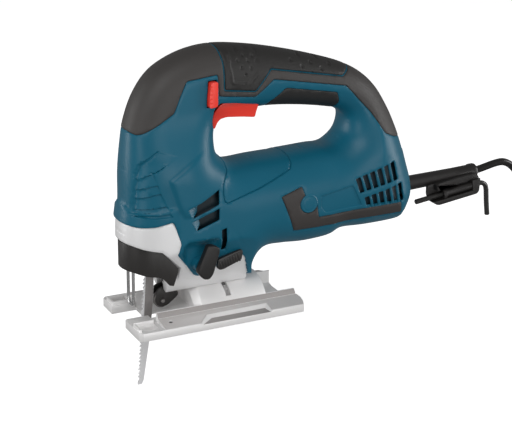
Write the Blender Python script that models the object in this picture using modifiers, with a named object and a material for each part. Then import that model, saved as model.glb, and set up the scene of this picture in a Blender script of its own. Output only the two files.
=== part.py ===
"""Corded jigsaw with a D-shaped top handle. +X is the rear, -Y the left side, +Z up; Z = 0 is the sole plane."""

import math

import bmesh
import bpy
import numpy as np
from mathutils import Vector
from mathutils.geometry import delaunay_2d_cdt

for old in list(bpy.data.objects):
    bpy.data.objects.remove(old, do_unlink=True)

MM = 0.001
GAP = 0.3  # clearance between touching pieces, mm

# ---- driving dimensions, mm ----
HANDLE_HALF, BARREL_HALF = 19.5, 31.5  # half widths of the handle and of the motor barrel
HANDLE_ROUND, BARREL_ROUND = 22.0, 34.0  # how far in from the outline each reaches its full width
CROWN = 2.3  # superellipse power of the sections
FLANK_HALF, FLANK_Z, FLANK_SLOPE = 13.2, 22.4, 0.44  # the skirt narrows downwards, so the foot can tilt
OVERMOULD = 2.0
WALL = 4.5
MOTOR_Z, GEAR_Z = 83.0, 107.0
PINION_TEETH, GEAR_TEETH = 7, 42
MODULE = (GEAR_Z - MOTOR_Z) * 2 / (PINION_TEETH + GEAR_TEETH)
PLUNGER_X, STROKE = -43.0, 20.0
FOOT_L, FOOT_W = 132.0, 76.0
LIP_Z, TRAY_Z, RIDGE_Y = 6.5, 2.8, 22.0
ARCH_R, ARCH_X0, ARCH_X1 = 24.0, -10.0, 41.5
CORD_D, CORD_LENGTH = 6.0, 2400.0
COIL_AT, COIL_R, PLUG_AT = (347.0, 0.0), 34.0, (351.0, -32.0)
FLOOR_Z = -56.0  # what the cord lies on, just under the blade tip
BLADE_TIP_Z = -52.0

# ---- side outline of the body: X, Z of points on its smooth closed edge, mm ----
OUTLINE = [
    (-67, 80), (-68, 92), (-66.5, 112), (-64, 131), (-60.5, 150), (-54.5, 169), (-43.5, 184.5),
    (-29, 194), (-11, 198.6), (9, 200), (36, 197.4), (63, 192), (90, 185), (111, 177.4),
    (126, 168.6), (139, 157.4), (151, 143), (160, 129), (166.5, 115), (171.5, 101), (175.4, 86),
    (176.8, 72), (174.5, 60.5), (166, 54), (150, 53), (128, 52.4), (108, 51.6), (99, 48.6),
    (91, 46.8), (74, 46.2), (58, 45), (47, 40.5), (41.5, 34), (39.3, 25.8), (33.3, 25.8), (27, 33),
    (20, 44), (4, 41), (-12, 39), (-26, 43), (-36, 52), (-50, 60), (-63, 66),
]
OPENING = [
    (9, 127), (11.5, 120.5), (19, 117.6), (40, 117.3), (65, 118.2), (88, 119.4), (100, 121.5),
    (107.5, 128), (109.3, 137), (105.5, 145.5), (97, 149.4), (75, 150.6), (50, 151.6),
    (30, 151), (14, 149.5), (9.2, 141),
]
GRIP = [
    (-80, 152), (-62, 147), (-53, 144), (-42, 148), (-30, 156.5), (-23, 167), (-19.5, 180),
    (3, 183), (5.5, 166), (33, 163), (46, 174.5), (106, 164), (126, 143), (137, 126.5),
    (146, 122.5), (160, 118.5), (190, 112), (190, 230), (-80, 230),
]
PAD = [
    (-2, 230), (3, 199.5), (7, 190), (10.5, 170.5), (32, 167.5), (44, 182.5), (104, 171.5),
    (114, 177), (120, 190), (120, 230),
]
UNDER_PAD = [(46, 140), (47, 155.5), (59, 165.2), (99, 158.2), (102.5, 151), (99, 140)]
TRIM = [
    (48, 90), (65, 95.5), (67.5, 88.5), (76, 86.5), (79, 71.5), (152, 72.5), (154.5, 62),
    (60, 61.5),
]
SILVER = [
    (-80, 80.5), (-37, 82.5), (-30, 65), (-34, 58.5), (-22.5, 38.5), (-10, 40.5), (2, 43.5),
    (17, 52), (22.3, 45.5), (22.3, 14), (-80, 14),
]

PARTS = bpy.data.collections.new("jigsaw")
CUTTERS = bpy.data.collections.new("cutters")
bpy.context.scene.collection.children.link(PARTS)
bpy.context.scene.collection.children.link(CUTTERS)
CUTTERS.hide_render = True
LOOKS = {}


def look(name, colour, rough, metal=0.0):
    """One Principled material per look."""
    mat = bpy.data.materials.new(name)
    mat.use_nodes = True
    bsdf = mat.node_tree.nodes["Principled BSDF"]
    bsdf.inputs["Base Color"].default_value = (*colour, 1)
    bsdf.inputs["Roughness"].default_value = rough
    bsdf.inputs["Metallic"].default_value = metal
    mat.diffuse_color = (*colour, 1)
    LOOKS[name] = mat


look("teal_plastic", (0.015, 0.115, 0.17), 0.42)
look("grip_rubber", (0.055, 0.048, 0.045), 0.6)
look("black_plastic", (0.025, 0.024, 0.023), 0.45)
look("red_plastic", (0.78, 0.035, 0.022), 0.35)
look("cast_aluminium", (0.62, 0.62, 0.62), 0.45, 0.7)
look("steel", (0.5, 0.5, 0.51), 0.3, 1.0)
look("copper", (0.6, 0.25, 0.12), 0.35, 1.0)
look("rubber_cord", (0.012, 0.011, 0.011), 0.35)


# ---- building helpers ----
def finish(obj, mat, collection=None, smooth=True):
    """Files the object in its collection with its material and round shading."""
    for held in list(obj.users_collection):
        held.objects.unlink(obj)
    (collection or PARTS).objects.link(obj)
    if mat:
        obj.data.materials.clear()
        obj.data.materials.append(LOOKS[mat])
    if collection is CUTTERS:
        obj.hide_render = True
        obj.display_type = "WIRE"
    elif smooth and obj.type == "MESH":
        obj.data.shade_smooth()
        obj.data.set_sharp_from_angle(angle=math.radians(38))
    return obj


def from_bmesh(name, bm, mat=None, collection=None):
    mesh = bpy.data.meshes.new(name)
    bmesh.ops.recalc_face_normals(bm, faces=bm.faces)
    bm.to_mesh(mesh)
    bm.free()
    return finish(bpy.data.objects.new(name, mesh), mat, collection)


def box(name, lo, hi, mat=None, collection=None, bevel=0.0, segments=2):
    bm = bmesh.new()
    bmesh.ops.create_cube(bm, size=1)
    size = [(b - a) * MM for a, b in zip(lo, hi)]
    mid = [(a + b) / 2 * MM for a, b in zip(lo, hi)]
    bmesh.ops.scale(bm, vec=size, verts=bm.verts)
    if bevel:
        bmesh.ops.bevel(
            bm, geom=bm.edges[:], offset=bevel * MM, segments=segments, profile=0.5,
            affect="EDGES",
        )
    obj = from_bmesh(name, bm, mat, collection)
    obj.location = mid
    return obj


def cone(name, start, end, r1, r2, mat=None, collection=None, segments=24):
    """A round bar from start to end, mm, whose origin is at its middle."""
    a, b = Vector(start) * MM, Vector(end) * MM
    bm = bmesh.new()
    bmesh.ops.create_cone(
        bm, cap_ends=True, segments=segments, radius1=r1 * MM, radius2=r2 * MM,
        depth=(b - a).length,
    )
    obj = from_bmesh(name, bm, mat, collection)
    obj.location = (a + b) / 2
    obj.rotation_euler = (b - a).to_track_quat("Z", "Y").to_euler()
    return obj


def bar(name, start, end, r, mat=None, collection=None, segments=24):
    return cone(name, start, end, r, r, mat, collection, segments)


def turned(name, profile, start, axis, mat, steps=24):
    """A turned piece: profile is (radius, height) pairs down its outer side, mm."""
    mesh = bpy.data.meshes.new(name)
    mesh.from_pydata(
        [(r * MM, 0, h * MM) for r, h in profile], [(i, i + 1) for i in range(len(profile) - 1)], []
    )
    obj = finish(bpy.data.objects.new(name, mesh), mat, smooth=False)
    screw = obj.modifiers.new("turn", "SCREW")
    screw.steps = screw.render_steps = steps
    screw.use_merge_vertices = True
    screw.merge_threshold = 1e-6
    screw.use_smooth_shade = True
    obj.location = Vector(start) * MM
    obj.rotation_euler = Vector(axis).to_track_quat("Z", "Y").to_euler()
    return obj


def prism(name, points, y0, y1, mat=None, collection=None, plane="XZ", bevel=0.0):
    """A flat outline pushed between two levels. plane XZ is pushed along Y, YZ along X, XY along Z."""
    bm = bmesh.new()
    order = {"XZ": (0, 2, 1), "YZ": (1, 2, 0), "XY": (0, 1, 2)}[plane]

    def at(p, level):
        co = [0, 0, 0]
        co[order[0]], co[order[1]], co[order[2]] = p[0] * MM, p[1] * MM, level * MM
        return co

    low = [bm.verts.new(at(p, y0)) for p in points]
    high = [bm.verts.new(at(p, y1)) for p in points]
    bm.faces.new(low)
    bm.faces.new(high[::-1])
    for i in range(len(points)):
        j = (i + 1) % len(points)
        bm.faces.new((low[i], high[i], high[j], low[j]))
    bmesh.ops.recalc_face_normals(bm, faces=bm.faces)
    if bevel:
        rim = [e for e in bm.edges if abs(e.verts[0].co[order[2]] - e.verts[1].co[order[2]]) < 1e-7]
        bmesh.ops.bevel(bm, geom=rim, offset=bevel * MM, segments=2, profile=0.5, affect="EDGES")
    return from_bmesh(name, bm, mat, collection)


def tube(name, points, radius, mat=None, collection=None, resolution=3, smooth_points=False):
    """A round wire along points, mm, as a closed mesh."""
    curve = bpy.data.curves.new(name, "CURVE")
    curve.dimensions = "3D"
    spline = curve.splines.new("POLY")
    spline.points.add(len(points) - 1)
    for point, co in zip(spline.points, points):
        point.co = (*[c * MM for c in co], 1)
    curve.bevel_depth = radius * MM
    curve.bevel_resolution = resolution
    curve.use_fill_caps = True
    wire = bpy.data.objects.new(name + "_path", curve)
    bpy.context.scene.collection.objects.link(wire)
    bpy.context.view_layer.update()
    graph = bpy.context.evaluated_depsgraph_get()
    mesh = bpy.data.meshes.new_from_object(wire.evaluated_get(graph))
    bpy.data.objects.remove(wire, do_unlink=True)
    bm = bmesh.new()
    bm.from_mesh(mesh)
    bmesh.ops.remove_doubles(bm, verts=bm.verts, dist=1e-6)
    bpy.data.meshes.remove(mesh)
    return from_bmesh(name, bm, mat, collection)


def boolean(obj, other, operation="DIFFERENCE", keep=False):
    """Applies one Boolean now, so that the next one reads a plain mesh."""
    mod = obj.modifiers.new(operation.lower(), "BOOLEAN")
    mod.operation = operation
    mod.object = other
    bpy.context.view_layer.update()
    graph = bpy.context.evaluated_depsgraph_get()
    mesh = bpy.data.meshes.new_from_object(obj.evaluated_get(graph))
    obj.modifiers.remove(mod)
    old, obj.data = obj.data, mesh
    bpy.data.meshes.remove(old)
    if not keep:
        bpy.data.objects.remove(other, do_unlink=True)
    obj.data.shade_smooth()
    obj.data.set_sharp_from_angle(angle=math.radians(38))
    return obj


def cut(obj, *others):
    for other in others:
        boolean(obj, other)
    return obj


def join(obj, *others):
    for other in others:
        boolean(obj, other, "UNION")
    return obj


def group(name, objects):
    """Separate cutters merged into one object, so that one Boolean applies them all."""
    bm = bmesh.new()
    bpy.context.view_layer.update()
    for obj in objects:
        mesh = obj.data.copy()
        mesh.transform(obj.matrix_world)
        bm.from_mesh(mesh)
        bpy.data.meshes.remove(mesh)
        bpy.data.objects.remove(obj, do_unlink=True)
    return from_bmesh(name, bm, None, CUTTERS)


def copy_of(obj, name, mat=None, collection=None):
    new = bpy.data.objects.new(name, obj.data.copy())
    new.matrix_world = obj.matrix_world
    return finish(new, mat, collection)


def pivot_at(obj, point):
    """Moves the object's origin to a joint's axis without moving its shape."""
    bpy.context.view_layer.update()
    target = Vector(point) * MM
    obj.data.transform(obj.matrix_world)
    obj.matrix_world.identity()
    obj.location = target
    obj.rotation_euler = (0, 0, 0)
    for vert in obj.data.vertices:
        vert.co -= target
    return obj


# ---- the crowned body form ----
def smooth_loop(points, spacing):
    """A closed Catmull-Rom curve through the points, at even spacing."""
    pts = np.array(points, float)
    n = len(pts)
    fine = []
    for i in range(n):
        p0, p1, p2, p3 = (pts[(i + k) % n] for k in (-1, 0, 1, 2))
        for t in np.linspace(0, 1, 16, endpoint=False):
            fine.append(
                0.5 * (2 * p1 + (p2 - p0) * t + (2 * p0 - 5 * p1 + 4 * p2 - p3) * t**2
                       + (3 * p1 - p0 - 3 * p2 + p3) * t**3)
            )
    fine = np.array(fine + [fine[0]])
    run = np.concatenate([[0], np.cumsum(np.linalg.norm(np.diff(fine, axis=0), axis=1))])
    count = max(12, round(run[-1] / spacing))
    at = np.linspace(0, run[-1], count, endpoint=False)
    return np.stack([np.interp(at, run, fine[:, k]) for k in (0, 1)], 1)


def edge_distance(p, loops):
    """The distance from each point to the nearest loop edge."""
    best = np.full(len(p), 1e9)
    for loop in loops:
        for a, b in zip(loop, np.roll(loop, -1, axis=0)):
            ab = b - a
            t = np.clip(((p - a) @ ab) / (ab @ ab), 0, 1)
            best = np.minimum(best, np.linalg.norm(p - a - t[:, None] * ab, axis=1))
    return best


def inside(p, loop):
    found = np.zeros(len(p), bool)
    for a, b in zip(loop, np.roll(loop, -1, axis=0)):
        crosses = (a[1] > p[:, 1]) != (b[1] > p[:, 1])
        with np.errstate(divide="ignore", invalid="ignore"):
            x = (b[0] - a[0]) * (p[:, 1] - a[1]) / (b[1] - a[1]) + a[0]
        found ^= crosses & (p[:, 0] < x)
    return found


def ramp(x, a, b):
    t = np.clip((x - a) / (b - a), 0, 1)
    return t * t * (3 - 2 * t)


def half_width(p, d, inset):
    """Half the body's thickness where its side view is at p, d mm in from the outline."""
    low = 1 - ramp(p[:, 1], 108, 158)
    nose = 1 - ramp(p[:, 0], -50, 20)
    full = HANDLE_HALF + (BARREL_HALF - HANDLE_HALF) * low - 2.5 * nose * low
    reach = HANDLE_ROUND + (BARREL_ROUND - HANDLE_ROUND) * low
    t = np.clip((d - inset) / (reach - inset), 0, 1)
    skirt = FLANK_HALF + FLANK_SLOPE * (p[:, 1] - FLANK_Z) - inset
    return np.minimum((full - inset) * (1 - (1 - t) ** CROWN) ** (1 / CROWN), skirt)


OUTER_LOOP = smooth_loop(OUTLINE, 6.5)
HOLE_LOOP = smooth_loop(OPENING, 6.5)


def crowned(name, inset, rings, step):
    """The body as a closed solid that bulges to both sides of its outline, shrunk by inset."""
    loops = [smooth_loop(OUTLINE, step), smooth_loop(OPENING, step)]
    exact = [smooth_loop(OUTLINE, 2.0), smooth_loop(OPENING, 2.0)]
    rim = []
    for loop, sign in zip(loops, (1, -1)):
        ahead = np.roll(loop, -1, axis=0) - np.roll(loop, 1, axis=0)
        normal = np.stack([ahead[:, 1], -ahead[:, 0]], 1)
        normal /= np.linalg.norm(normal, axis=1)[:, None]
        area = np.sum(loop[:, 0] * np.roll(loop[:, 1], -1) - np.roll(loop[:, 0], -1) * loop[:, 1])
        rim.append((loop, -normal * np.sign(area) * sign))
    points, edges = [], []
    for loop, inward in rim:
        base = loop + inward * inset
        base = base[edge_distance(base, exact) > inset * 0.93]
        start = len(points)
        points += list(base)
        edges += [(start + i, start + (i + 1) % len(base)) for i in range(len(base))]
    on_rim = len(points)
    for ring in rings:
        for loop, inward in rim:
            q = loop + inward * (inset + ring)
            keep = edge_distance(q, exact) > (inset + ring) * 0.95
            for one in q[keep]:
                if min(np.hypot(*(one - o)) for o in points[on_rim:] or [(1e3, 1e3)]) > min(
                    ring * 0.55, step * 0.6
                ):
                    points.append(one)
    lo, hi = exact[0].min(axis=0), exact[0].max(axis=0)
    grid = np.array(
        [(x, z) for x in np.arange(lo[0], hi[0], step * 1.5) for z in np.arange(lo[1], hi[1], step * 1.5)]
    )
    deep = inside(grid, exact[0]) & ~inside(grid, exact[1])
    deep &= edge_distance(grid, exact) > inset + rings[-1] + step * 0.8
    points += list(grid[deep])
    pts = np.array(points)
    made = delaunay_2d_cdt([Vector(p) for p in pts], edges, [], 0, 1e-6)
    flat = np.array([tuple(v) for v in made[0]])
    tris = np.array([f for f in made[2] if len(f) == 3])
    mid = flat[tris].mean(axis=1)
    first = edges[-1][1]
    outer_rim, hole_rim = pts[:first], pts[first:on_rim]
    tris = tris[inside(mid, outer_rim) & ~inside(mid, hole_rim)]
    d = edge_distance(flat, exact)
    rim_gap = edge_distance(flat, [outer_rim, hole_rim])
    h = half_width(flat, np.maximum(d, inset), inset)
    h[rim_gap < 1e-4] = 0
    bm = bmesh.new()
    left = [bm.verts.new((p[0] * MM, -y * MM, p[1] * MM)) for p, y in zip(flat, h)]
    right = [
        l if y == 0 else bm.verts.new((p[0] * MM, y * MM, p[1] * MM))
        for l, p, y in zip(left, flat, h)
    ]
    for t in tris:
        for side, turn in ((left, 1), (right, -1)):
            f = [side[i] for i in t][::turn]
            bm.faces.new(f)
    for v in [v for v in bm.verts if not v.link_faces]:
        bm.verts.remove(v)
    return from_bmesh(name, bm, None, CUTTERS)


def grown(points, by):
    """The outline pushed outwards by a distance, for a clearance cutter."""
    pts = np.array(points, float)
    area = np.sum(pts[:, 0] * np.roll(pts[:, 1], -1) - np.roll(pts[:, 0], -1) * pts[:, 1])
    out = []
    for i in range(len(pts)):
        a, b, c = pts[i - 1], pts[i], pts[(i + 1) % len(pts)]
        n1 = np.array([(b - a)[1], -(b - a)[0]]) / np.linalg.norm(b - a) * np.sign(area)
        n2 = np.array([(c - b)[1], -(c - b)[0]]) / np.linalg.norm(c - b) * np.sign(area)
        m = (n1 + n2) / (1 + n1 @ n2)
        out.append(tuple(b + m * by))
    return out


SCREWS = [(-42, 140, 15), (-13, 185, 12.6), (113, 162, 12.8), (149, 118, 19), (165, 66, 17)]  # X, Z, boss reach


def body_pieces():
    """Both housing halves, the overmoulded grip, its pads, the side trims and the metal nose band."""
    rings = (0.9, 3.5, 9, 18)
    full = crowned("full_form", 0, rings, 11)
    under = crowned("under_overmould", OVERMOULD, (1.2, 5, 13, 23), 12)
    core = crowned("under_gap", OVERMOULD + 3.2 * GAP, (1.2, 5, 13, 23), 12)
    cavity = crowned("cavity", WALL + 0.5, (2, 8, 18), 16)

    def skin(name, outline, mat, minus=()):
        piece = copy_of(full, name, mat)
        boolean(piece, prism(name + "_zone", outline, -60, 60, collection=CUTTERS), "INTERSECT")
        for one in minus:
            boolean(piece, prism(name + "_less", one, -60, 60, collection=CUTTERS))
        return boolean(piece, under, keep=True)

    skin("top_grip", GRIP, "grip_rubber", (grown(PAD, 0.8),))
    skin("handle_pad", PAD, "grip_rubber")
    skin("under_pad", UNDER_PAD, "grip_rubber")
    for side, y0, y1 in (("left", -60, -5), ("right", 5, 60)):
        trim = skin("side_trim_" + side, TRIM, "grip_rubber")
        boolean(trim, box("half", (-90, y0, 0), (200, y1, 250), collection=CUTTERS), "INTERSECT")

    pockets = []
    for i, outline in enumerate((grown(GRIP, GAP), grown(UNDER_PAD, GAP), grown(TRIM, GAP))):
        pocket = prism(f"pocket_{i}", outline, -60, 60, collection=CUTTERS)
        if i == 2:
            boolean(pocket, box("middle", (-90, -5 + GAP, 0), (200, 5 - GAP, 250), collection=CUTTERS))
        pockets.append(boolean(pocket, core, keep=True))
    shell = copy_of(full, "housing", None, CUTTERS)
    cut(shell, *pockets)
    boolean(shell, prism("nose_cut", grown(SILVER, GAP), -60, 60, collection=CUTTERS))
    boolean(shell, cavity, keep=True)

    band = copy_of(full, "band_form", None, CUTTERS)
    boolean(band, prism("band_zone", SILVER, -60, 60, collection=CUTTERS), "INTERSECT")
    for one in (full, under, core, cavity):
        bpy.data.objects.remove(one, do_unlink=True)
    return shell, band


def vent_cutters():
    """Rear inlet slots in two slanted rows and front outlets, through one side wall."""
    made = []
    for i in range(6):
        x = 110.0 + 6.1 * i
        top, foot = 95.2 + 1.95 * i, 84.6 + 1.2 * i
        made.append([(x, top), (x + 3.6, top + 1.2), (x + 7.4, foot + 0.8), (x + 4.2, foot)])
        x = 118.0 + 5.9 * i
        top, foot = 80.0 + 1.35 * i, 73.6
        made.append([(x, top), (x + 3.6, top + 0.8), (x + 6.6, foot + 0.3), (x + 3.4, foot)])
    made.append([(-2.5, 101), (-2.5, 92), (-17, 82), (-14, 90.5)])
    made.append([(-2.5, 88), (-2.5, 80.5), (-15, 74.5), (-13, 80.5)])
    return made


def housing_halves(shell):
    """Splits the housing at its middle plane and gives each half its bosses, vents and openings."""
    boss, hole, head = [], [], []
    for x, z, reach in SCREWS:
        boss.append(bar("boss", (x, -reach, z), (x, reach, z), 4.6, collection=CUTTERS, segments=12))
        hole.append(bar("hole", (x, -9, z), (x, 60, z), 1.9, collection=CUTTERS, segments=10))
        head.append(bar("head", (x, reach - 4.6, z), (x, 61, z), 3.6, collection=CUTTERS, segments=12))
    boolean(shell, group("bosses", boss), "UNION")
    vents = [
        prism("vent", pts, y0, y1, collection=CUTTERS)
        for pts in vent_cutters() for y0, y1 in ((-60, -18), (18, 60))
    ]
    boolean(shell, group("vents", vents))
    extra = [
        box("trigger_slot", (2.5, -7.2, 136), (41.5, 7.2, 158.5), collection=CUTTERS),
        box("button_slot", (-6.3, -30, 158.6), (1.9, 0.6, 178.4), collection=CUTTERS),
        bar("boot_hole", (160, 0, 74), (190, 0, 75), 5.9, collection=CUTTERS, segments=20),
        bar("boot_seat", (175.2, 0, 74.5), (190, 0, 74.8), 8.7, collection=CUTTERS, segments=20),
        box("lever_flat", (-24, -60, 33), (0, -23.6, 72), collection=CUTTERS),
        box("blower_flat", (-5, -60, 36), (26, -24.6, 57), collection=CUTTERS),
        bar("lever_hub_hole", (-15, -24, 47), (-15, -14, 47), 4.3, collection=CUTTERS, segments=16),
    ]
    cut(shell, *extra)
    boolean(shell, group("screw_holes", hole))
    boolean(shell, group("screw_heads", head))
    for name, y0, y1 in (("housing_left", -70, -0.15), ("housing_right", 0.15, 70)):
        half = copy_of(shell, name, "teal_plastic")
        boolean(half, box("side", (-95, y0, -5), (220, y1, 260), collection=CUTTERS), "INTERSECT")
    bpy.data.objects.remove(shell, do_unlink=True)
    for i, (x, z, reach) in enumerate(SCREWS):
        screw = bar(f"housing_screw_{i + 1}", (x, -8.7, z), (x, reach - 3, z), 1.5, "steel", segments=10)
        join(screw, bar("head", (x, reach - 4.3, z), (x, reach - 1.7, z), 3.1, collection=CUTTERS, segments=12))


def gear_housing(band):
    """The cast nose: a band round the front and a tapered block that sits on the foot's arch."""
    side = [
        (-32.6, 60.8), (-34, 58.5), (-22.5, 38.5), (-10, 40.5), (2, 43.5), (17, 52), (22.3, 45.5),
        (22.3, 12), (-33, 12), (-35, 27), (-39, 45), (-52, 60.8),
    ]
    block = prism("gear_housing", side, -27, 27, "cast_aluminium")
    taper = [
        (-27, 90), (-27, 58), (-23.4, 46.5), (-11.6, 22.4), (-11.0, 10), (11.0, 10),
        (11.6, 22.4), (23.4, 46.5), (27, 58), (27, 90),
    ]
    boolean(block, prism("taper", taper, -60, 60, collection=CUTTERS, plane="YZ"), "INTERSECT")
    trim = [(-80, 58.2), (-80, 90), (-20, 90), (-20, 58.2)]
    boolean(band, prism("band_part", trim, -60, 60, collection=CUTTERS), "INTERSECT")
    join(block, band)
    neck = box("neck", (-53, -13, 40), (-30, 13, 66), collection=CUTTERS, bevel=4)
    under_hood = [
        (-90, 67.6), (-63, 67.0), (-56, 62.8), (-44, 60.3), (-28, 44.6), (-28, 10), (-90, 10),
    ]
    hood_space = prism("hood_space", under_hood, -60, 60, collection=CUTTERS)
    boolean(hood_space, prism("kept", hood_plan(18.0, -10), 0, 90, collection=CUTTERS, plane="XY"))
    join(block, neck)
    cut(
        block,
        bar("saddle", (-60, 0, 0), (60, 0, 0), ARCH_R + GAP, collection=CUTTERS, segments=64),
        box("plunger_bay", (-51.2, -9, 30), (-34.2, 9, 100), collection=CUTTERS),
        box("gearbox_bay", (-34.5, -15, 46), (30, 15, 100), collection=CUTTERS),
        box("top_bay", (-57, -17, 68), (-25, 17, 100), collection=CUTTERS),
        bar("hub_hole", (-15, -30, 47), (-15, -10, 47), 4.3, collection=CUTTERS, segments=16),
        box("blower_flat", (-5, -60, 36), (26, -22.4, 57), collection=CUTTERS),
        bar("screw_hole", (12, 0, 10), (12, 0, 60), 2.3, collection=CUTTERS, segments=16),
        hood_space,
        box("fork_clear", (-37, -6, 12), (-16, 6, 36), collection=CUTTERS),
    )
    return block


def hood_plan(r, x_back):
    """A half circle round the plunger's axis with straight sides back to x_back."""
    arc = [
        (PLUNGER_X - r * math.cos(a), -r * math.sin(a))
        for a in np.linspace(-math.pi / 2, math.pi / 2, 15)
    ]
    return [(x_back, r), *arc, (x_back, -r)]


def blade_lever():
    """The release lever: a hood wrapped round the plunger that swings open about its right edge."""
    outer = prism("blade_lever", hood_plan(24.2, -28), 28, 68, "black_plastic", plane="XY")
    inner = prism("inner", hood_plan(22.0, -20), 20, 80, collection=CUTTERS, plane="XY")
    boolean(outer, inner)
    side = [
        (-70, 66.6), (-63, 66), (-56, 62), (-44, 59.5), (-30, 44.2), (-33, 32.4), (-37, 32.6),
        (-42, 38), (-50, 39), (-60, 43), (-64, 47), (-70, 49),
    ]
    boolean(outer, prism("side", side, -60, 60, collection=CUTTERS), "INTERSECT")
    return pivot_at(outer, (-30, 23.1, 50))


def contact_guard():
    """The bent wire in front of the blade."""
    r, y, x = 1.3, 5.0, -57.6
    path = [(x, y, 45), (x, y, 18.5)]
    path += [(x, y * math.cos(a), 18.5 - 4.6 * math.sin(a)) for a in np.linspace(0.2, math.pi - 0.2, 7)]
    path += [(x, -y, 18.5), (x, -y, 45)]
    wire = tube("contact_guard", path, r, "steel", resolution=2)
    bridge = box("bridge", (x - 3, -8, 44), (-53.5, 8, 50), collection=CUTTERS)
    join(wire, bridge)
    return wire


def gear_wheel(name, teeth, module, x0, x1, centre, mat, turn=0.0, backlash=0.3):
    """A spur wheel along X with involute flanks, 20 degrees of pressure angle and stub teeth."""
    y, z = centre
    pitch, root, tip = module * teeth / 2, module * (teeth - 2.2) / 2, module * (teeth + 1.6) / 2
    base = pitch * math.cos(math.radians(20))
    inv = math.tan(math.radians(20)) - math.radians(20)
    flank = []
    for r in (root, max(base, root + 0.02), (max(base, root) + tip) / 2, tip):
        a = math.acos(min(1, base / r))
        flank.append((r, math.pi / 2 / teeth + inv - (math.tan(a) - a) - backlash / 2 / pitch))
    if base <= root:
        flank = flank[1:]
    pts = []
    for i in range(teeth):
        mid = turn + i * 2 * math.pi / teeth
        for r, half in [(r, -h) for r, h in flank] + [(r, h) for r, h in flank[::-1]]:
            pts.append((y + r * math.cos(mid + half), z + r * math.sin(mid + half)))
    return prism(name, pts, x0, x1, mat, plane="YZ")


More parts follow.
